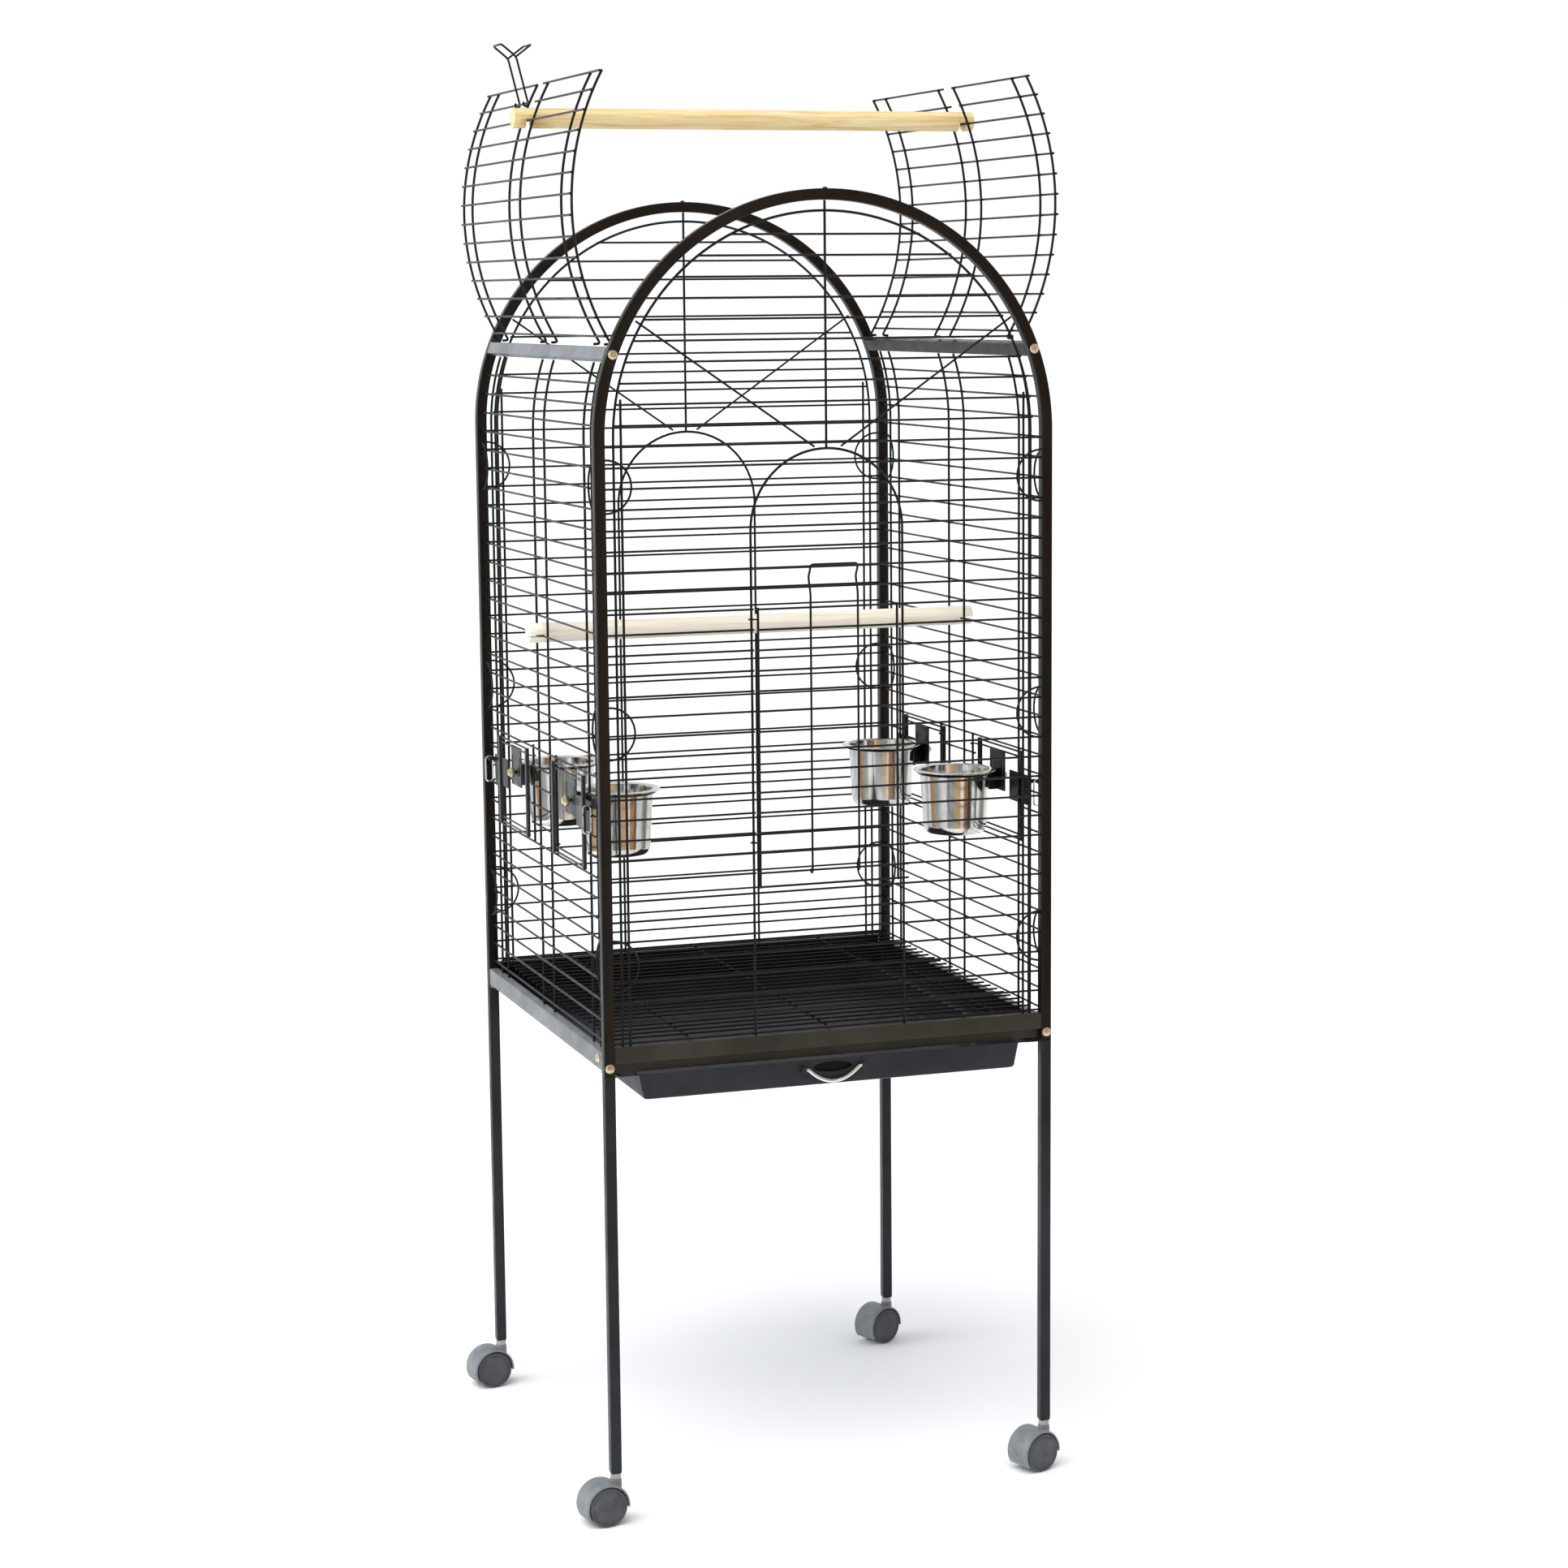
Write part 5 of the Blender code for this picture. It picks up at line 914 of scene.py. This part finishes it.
def feeder(corner, side, end):
    """Feeder door with its plates and pin, the bail, the holder and the cup."""
    def at(along, x, z):
        return (side * x, end * (FEED_HINGE + along), z)

    def block(along, out, tall, corner_r=0.0004):
        return soft_box(at(along[0], out[0], tall[0]), at(along[1], out[1], tall[1]), corner_r)

    door_body = corner + "_feeder_door"
    # Left fittings get the lit copy as painted sheen, right fittings the shaded copy as painted shade.
    coat = LIT_FITTING_COAT if side < 0 else SHADED_FITTING_COAT
    leaf_in, leaf_out = LEAF - LEAF_THICK / 2, LEAF + LEAF_THICK / 2
    lines = [[at(0.0075, LEAF, z), at(0.1320, LEAF, z)] for z in LEAF_ROWS]
    eyes = []
    for z in (row_z(9) - ROW_PITCH / 2, row_z(13) - ROW_PITCH / 2):
        ring = [at(across, SIDE_ROW - 0.0021 + out, z) for across, out in arc((0, 0), EYE_R, 85, 345, 20)]
        eyes.append([at(0.0075, LEAF, z)] + ring)
    pin_tall = (PIN_Z - PIN_HEAD, PIN_Z + PIN_HEAD)
    parts = [block((0.0045, 0.0105), (leaf_in, leaf_in + LEAF_BAR_DEEP), LEAF_Z),
             block((0.1290, 0.1350), (leaf_in, leaf_in + LEAF_BAR_DEEP), LEAF_Z),
             block((0.1000, PLATE_END), (leaf_in, leaf_out), (0.7555, 0.7895)),
             wires(lines, ROW_R), wires(eyes, EYE_WIRE),
             block((PLATE_END - 0.0030, PLATE_END), (LEAF, PIN_X + PIN_HEAD), pin_tall),
             wires([[at(PLATE_END - 0.0015, PIN_X, PIN_Z), at(PLATE_END + PIN_LONG, PIN_X, PIN_Z)]], PIN_R),
             block((PLATE_END + 0.0060, PLATE_END + PIN_LONG), (PIN_X - PIN_HEAD, PIN_X + PIN_HEAD), pin_tall,
                   0.0006)]
    piece(corner + "_feeder_leaf", parts, door_body, coat, [door_body])

    bail_y = PLATE_END + PIN_LONG / 2 - 0.0008
    top = PIN_Z + PIN_R + PIN_R + AIR
    ring = arc((PIN_X, top - BAIL_R), BAIL_R, 0, 180, 14) + arc((PIN_X, top - 0.0256), BAIL_R, 180, 360, 14)
    bail = wires([[at(bail_y, x, z) for x, z in ring]], PIN_R, closed=True)
    piece(corner + "_feeder_bail", [bail], corner + "_feeder_latch", CHROME,
          [corner + "_feeder_latch"])

    plate_out = leaf_in + (LEAF_THICK / 2 - ROW_R) - AIR
    plate_in = plate_out - 0.0014
    plate_mid = plate_in + 0.0007
    ring_r = (0.0395 + RING_R + AIR) / math.cos(math.pi / 14) - 0.0004
    ring_z = CUP_TOP - 0.0022 - AIR - RING_R
    centre = at(CUP_ALONG, CUP_X, ring_z)
    circle = [(x, y, ring_z) for x, y in arc((centre[0], centre[1]), ring_r, 0, 360 - 360 / 56, 55)]
    plate = cut(block((CUP_ALONG - 0.022, CUP_ALONG + 0.022), (plate_in, plate_out), (0.763, 0.8092), 0.0005),
                [block((CUP_ALONG + near, CUP_ALONG + far), (plate_in - 0.002, plate_out + 0.002),
                       (0.775, 0.798), 0.001) for near, far in ((-0.0175, -0.0140), (0.0140, 0.0175))])
    parts = [plate,
             block((CUP_ALONG - 0.0016, CUP_ALONG + 0.0016), (CUP_X + ring_r, plate_mid),
                   (ring_z - 0.0228, ring_z + 0.0012)),
             wires([circle], RING_R, closed=True),
             wires([[at(CUP_ALONG, plate_mid, SCREW_Z), at(CUP_ALONG, leaf_out + 0.001, SCREW_Z)]], 0.0021)]
    piece(corner + "_holder_plate", parts, door_body, coat, [corner + "_cup_holder"])

    knob = [(0, 0.0075), (0.0030, 0.0075), (0.0038, 0.0066), (0.0042, 0.0052), (0.0056, 0.0046),
            (0.0060, 0.0040), (0.0060, 0.0010), (0.0055, 0), (0, 0)]
    seat = Matrix.Translation(at(CUP_ALONG, leaf_out + AIR, SCREW_Z))
    screw = turned(knob, 24, seat @ facing((side, 0, 0)))
    piece(corner + "_thumbscrew", [screw], door_body, BRASS)

    cup = turned(cup_profile(), 72, Matrix.Translation(at(CUP_ALONG, CUP_X, 0)))
    piece(corner + "_cup_bowl", [cup], corner + "_cup", STEEL, [corner + "_cup"])


for end_name, end_sign in (("front", -1), ("rear", 1)):
    arch_frame(end_name + "_arch_frame", end_sign)
    end_panel(end_name + "_grille", end_sign, end_name == "front")
# The front rail's lighter olive coat is painted reflection; the rear rail has the plain tube coat.
end_rail("front_lower_rail", -1, RAIL_BOTTOM, FRONT_RAIL_REFLECTION_COAT)
end_rail("rear_lower_rail", 1, LEDGE_Z - SHEET, TUBE_COAT)
# The left rails get the pale coat as painted sheen of the light from the left, the right rails the dark tube
# coat.
for side_name, side_sign, rail_look, rail_slot in (("left", -1, LEFT_RAIL_PAINTED_SHEEN_COAT, "side_rail_paint"),
                                                   ("right", 1, TUBE_COAT, "frame_paint")):
    upper_rail(side_name + "_upper_rail", side_sign, rail_look)
    side_rail(side_name + "_lower_rail", side_sign, rail_look)
    side_panel(side_name + "_side_grille", side_sign)
    top_flap(side_name + "_top_flap", side_sign, side_name + "_flap")
    bolt(side_name + "_side_bolt", (side_sign * RAIL_FACE, -0.234, 0.5145), (side_sign, 0, 0))
top_latch()
front_door()
floor_grate()
perches()
tray()
for corner_name, (side_sign, end_sign) in CORNERS.items():
    leg(corner_name, side_sign, end_sign)
    castor(corner_name, side_sign, end_sign)
    feeder(corner_name, side_sign, end_sign)
    bolt(corner_name + "_lower_bolt", (side_sign * POST, end_sign * HALF, BOLT_Z), (0, end_sign, 0))
    bolt(corner_name + "_upper_bolt", upper_seat(side_sign, end_sign * HALF), (0, end_sign, 0))


# ---------- stage, light and camera

def stage():
    """Pale floor that runs past the horizon."""
    shape = bmesh.new()
    bmesh.ops.create_grid(shape, x_segments=1, y_segments=1, size=200.0)
    mesh = meshed(shape)
    floor = placed("floor", mesh)
    paint = bpy.data.materials.new("floor_white")
    paint.use_nodes = True
    shader = paint.node_tree.nodes["Principled BSDF"]
    shader.inputs["Base Color"].default_value = (0.93, 0.93, 0.93, 1.0)
    shader.inputs["Roughness"].default_value = 0.9
    shader.inputs["Specular IOR Level"].default_value = 0.1
    mesh.materials.append(paint)


# The room's colour by how far round it stands, with 0.5 towards the front: (share, red, green, blue)
SURROUND = [
    (0, 0.8, 0.84, 0.88), (0.06, 1, 1, 1), (0.1, 0.62, 0.68, 0.72), (0.15, 0.95, 0.97, 1),
    (0.172, 0.9, 0.9, 0.9), (0.18, 0.5, 0.27, 0.13), (0.228, 0.55, 0.33, 0.17), (0.238, 0.36, 0.38, 0.37),
    (0.29, 0.45, 0.48, 0.46), (0.3, 1, 1, 1), (0.38, 1, 1, 1), (0.39, 0.4, 0.37, 0.43),
    (0.43, 0.38, 0.36, 0.42), (0.44, 0.33, 0.38, 0.3), (0.468, 0.36, 0.4, 0.32), (0.475, 0.62, 0.35, 0.16),
    (0.515, 0.66, 0.4, 0.2), (0.525, 0.95, 0.88, 0.78), (0.545, 0.9, 0.82, 0.7), (0.552, 0.42, 0.2, 0.09),
    (0.592, 0.45, 0.23, 0.11), (0.602, 0.1, 0.09, 0.08), (0.615, 0.12, 0.11, 0.1),
    (0.625, 0.95, 0.95, 0.93), (0.69, 0.9, 0.92, 0.9), (0.72, 0.25, 0.24, 0.22), (0.76, 0.3, 0.3, 0.28),
    (0.78, 0.92, 0.94, 0.92), (0.9, 1, 1, 1), (1, 0.8, 0.84, 0.88)
]


def room_colour(nodes, links, way):
    """The room's colour in a direction, as a socket."""
    split = nodes.new("ShaderNodeSeparateXYZ")
    links.new(way, split.inputs[0])

    def maths(kind, first, second):
        node = nodes.new("ShaderNodeMath")
        node.operation = kind
        for socket, value in zip(node.inputs, (first, second)):
            if isinstance(value, (int, float)):
                socket.default_value = value
            else:
                links.new(value, socket)
        return node.outputs[0]

    flipped = maths("MULTIPLY", split.outputs["Y"], -1.0)
    turn = maths("DIVIDE", maths("ARCTAN2", split.outputs["X"], flipped), math.tau)
    ramp = nodes.new("ShaderNodeValToRGB")
    keys = ramp.color_ramp.elements
    keys.remove(keys[1])
    keys[0].color = (*SURROUND[0][1:], 1.0)
    for spot, *colour in SURROUND[1:]:
        keys.new(spot).color = (*colour, 1.0)
    links.new(maths("ADD", turn, 0.5), ramp.inputs["Fac"])
    return ramp.outputs["Color"]


ROOM_R = 1.5
ROOM_HIGH = 2.8
ROOM_GLOW = 1.05


def room_wall():
    """Wall of the room round the object, which only reflections show."""
    shape = bmesh.new()
    bmesh.ops.create_cone(shape, cap_ends=False, segments=96, radius1=ROOM_R, radius2=ROOM_R, depth=ROOM_HIGH)
    mesh = meshed(shape)
    wall = placed("room_wall", mesh)
    wall.location = (0.0, 0.0, ROOM_HIGH / 2 + 0.01)
    paint = bpy.data.materials.new("room_wall")
    paint.use_nodes = True
    nodes, links = paint.node_tree.nodes, paint.node_tree.links
    nodes.clear()
    glow = nodes.new("ShaderNodeEmission")
    glow.inputs["Strength"].default_value = ROOM_GLOW
    bands = room_colour(nodes, links, nodes.new("ShaderNodeTexCoord").outputs["Object"])
    links.new(bands, glow.inputs["Color"])
    out = nodes.new("ShaderNodeOutputMaterial")
    links.new(glow.outputs[0], out.inputs["Surface"])
    mesh.materials.append(paint)
    wall.visible_camera = False
    wall.visible_diffuse = False
    wall.visible_transmission = False
    wall.visible_volume_scatter = False
    wall.visible_shadow = False


def surroundings():
    """White behind the object, an even soft light, and a room for the reflections."""
    world = bpy.data.worlds.new("room")
    bpy.context.scene.world = world
    world.use_nodes = True
    nodes, links = world.node_tree.nodes, world.node_tree.links
    nodes.clear()
    bands = room_colour(nodes, links, nodes.new("ShaderNodeTexCoord").outputs["Generated"])
    rays = nodes.new("ShaderNodeLightPath")

    def background(colour, strength):
        node = nodes.new("ShaderNodeBackground")
        node.inputs["Strength"].default_value = strength
        if isinstance(colour, tuple):
            node.inputs["Color"].default_value = (*colour, 1.0)
        else:
            links.new(colour, node.inputs["Color"])
        return node.outputs[0]

    def chosen(share_socket, first, second):
        node = nodes.new("ShaderNodeMixShader")
        links.new(share_socket, node.inputs[0])
        links.new(first, node.inputs[1])
        links.new(second, node.inputs[2])
        return node.outputs[0]

    soft = background((0.96, 0.98, 1.0), 0.75)
    room = background(bands, ROOM_GLOW)
    white = background((1.0, 1.0, 1.0), 1.0)
    lit = chosen(rays.outputs["Is Glossy Ray"], soft, room)
    seen = chosen(rays.outputs["Is Camera Ray"], lit, white)
    out = nodes.new("ShaderNodeOutputWorld")
    links.new(seen, out.inputs["Surface"])


def lamp(name, kind, place, aim, energy, colour, **extra):
    """A light at a place, aimed at a point."""
    data = bpy.data.lights.new(name, kind)
    data.energy = energy
    data.color = colour
    for key, value in extra.items():
        setattr(data, key, value)
    made = placed(name, data)
    made.location = place
    made.rotation_euler = (Vector(aim) - Vector(place)).to_track_quat("-Z", "Y").to_euler()
    made.visible_glossy = kind != "SUN"


CAMERA_AT = (-1.2196, -3.4062 - HALF, 1.3264)
CAMERA_YAW = 0.3297
CAMERA_PITCH = -0.1439
CAMERA_ROLL = -0.0093
FOCAL_PX = 4156.52
FRAME_PX = 1932
SENSOR_MM = 36.0


def camera():
    """The camera fitted to the photograph."""
    data = bpy.data.cameras.new("camera")
    data.sensor_fit = "HORIZONTAL"
    data.sensor_width = SENSOR_MM
    data.lens = FOCAL_PX / FRAME_PX * SENSOR_MM
    data.clip_end = 500.0
    made = placed("camera", data)
    level = math.cos(CAMERA_PITCH)
    ahead = Vector((math.sin(CAMERA_YAW) * level, math.cos(CAMERA_YAW) * level, math.sin(CAMERA_PITCH)))
    right = Vector((math.cos(CAMERA_YAW), -math.sin(CAMERA_YAW), 0.0))
    up = right.cross(ahead)
    right_2 = math.cos(CAMERA_ROLL) * right + math.sin(CAMERA_ROLL) * up
    up_2 = math.cos(CAMERA_ROLL) * up - math.sin(CAMERA_ROLL) * right
    turn = Matrix((right_2, up_2, -ahead)).transposed().to_4x4()
    made.matrix_world = Matrix.Translation(Vector(CAMERA_AT) + SHIFT) @ turn
    bpy.context.scene.camera = made


stage()
room_wall()
surroundings()
lamp("sun", "SUN", (-2.0, -2.5, 6.0), (0, 0, 0.6), 1.9, (1.0, 0.99, 0.97), angle=math.radians(50))
lamp("left_window", "AREA", (-3.2, 0.4, 1.7), (0, 0, 0.9), 70.0, (0.86, 0.93, 1.0), shape="RECTANGLE",
     size=2.2, size_y=2.8)
camera()
bpy.context.scene.view_settings.view_transform = "Standard"
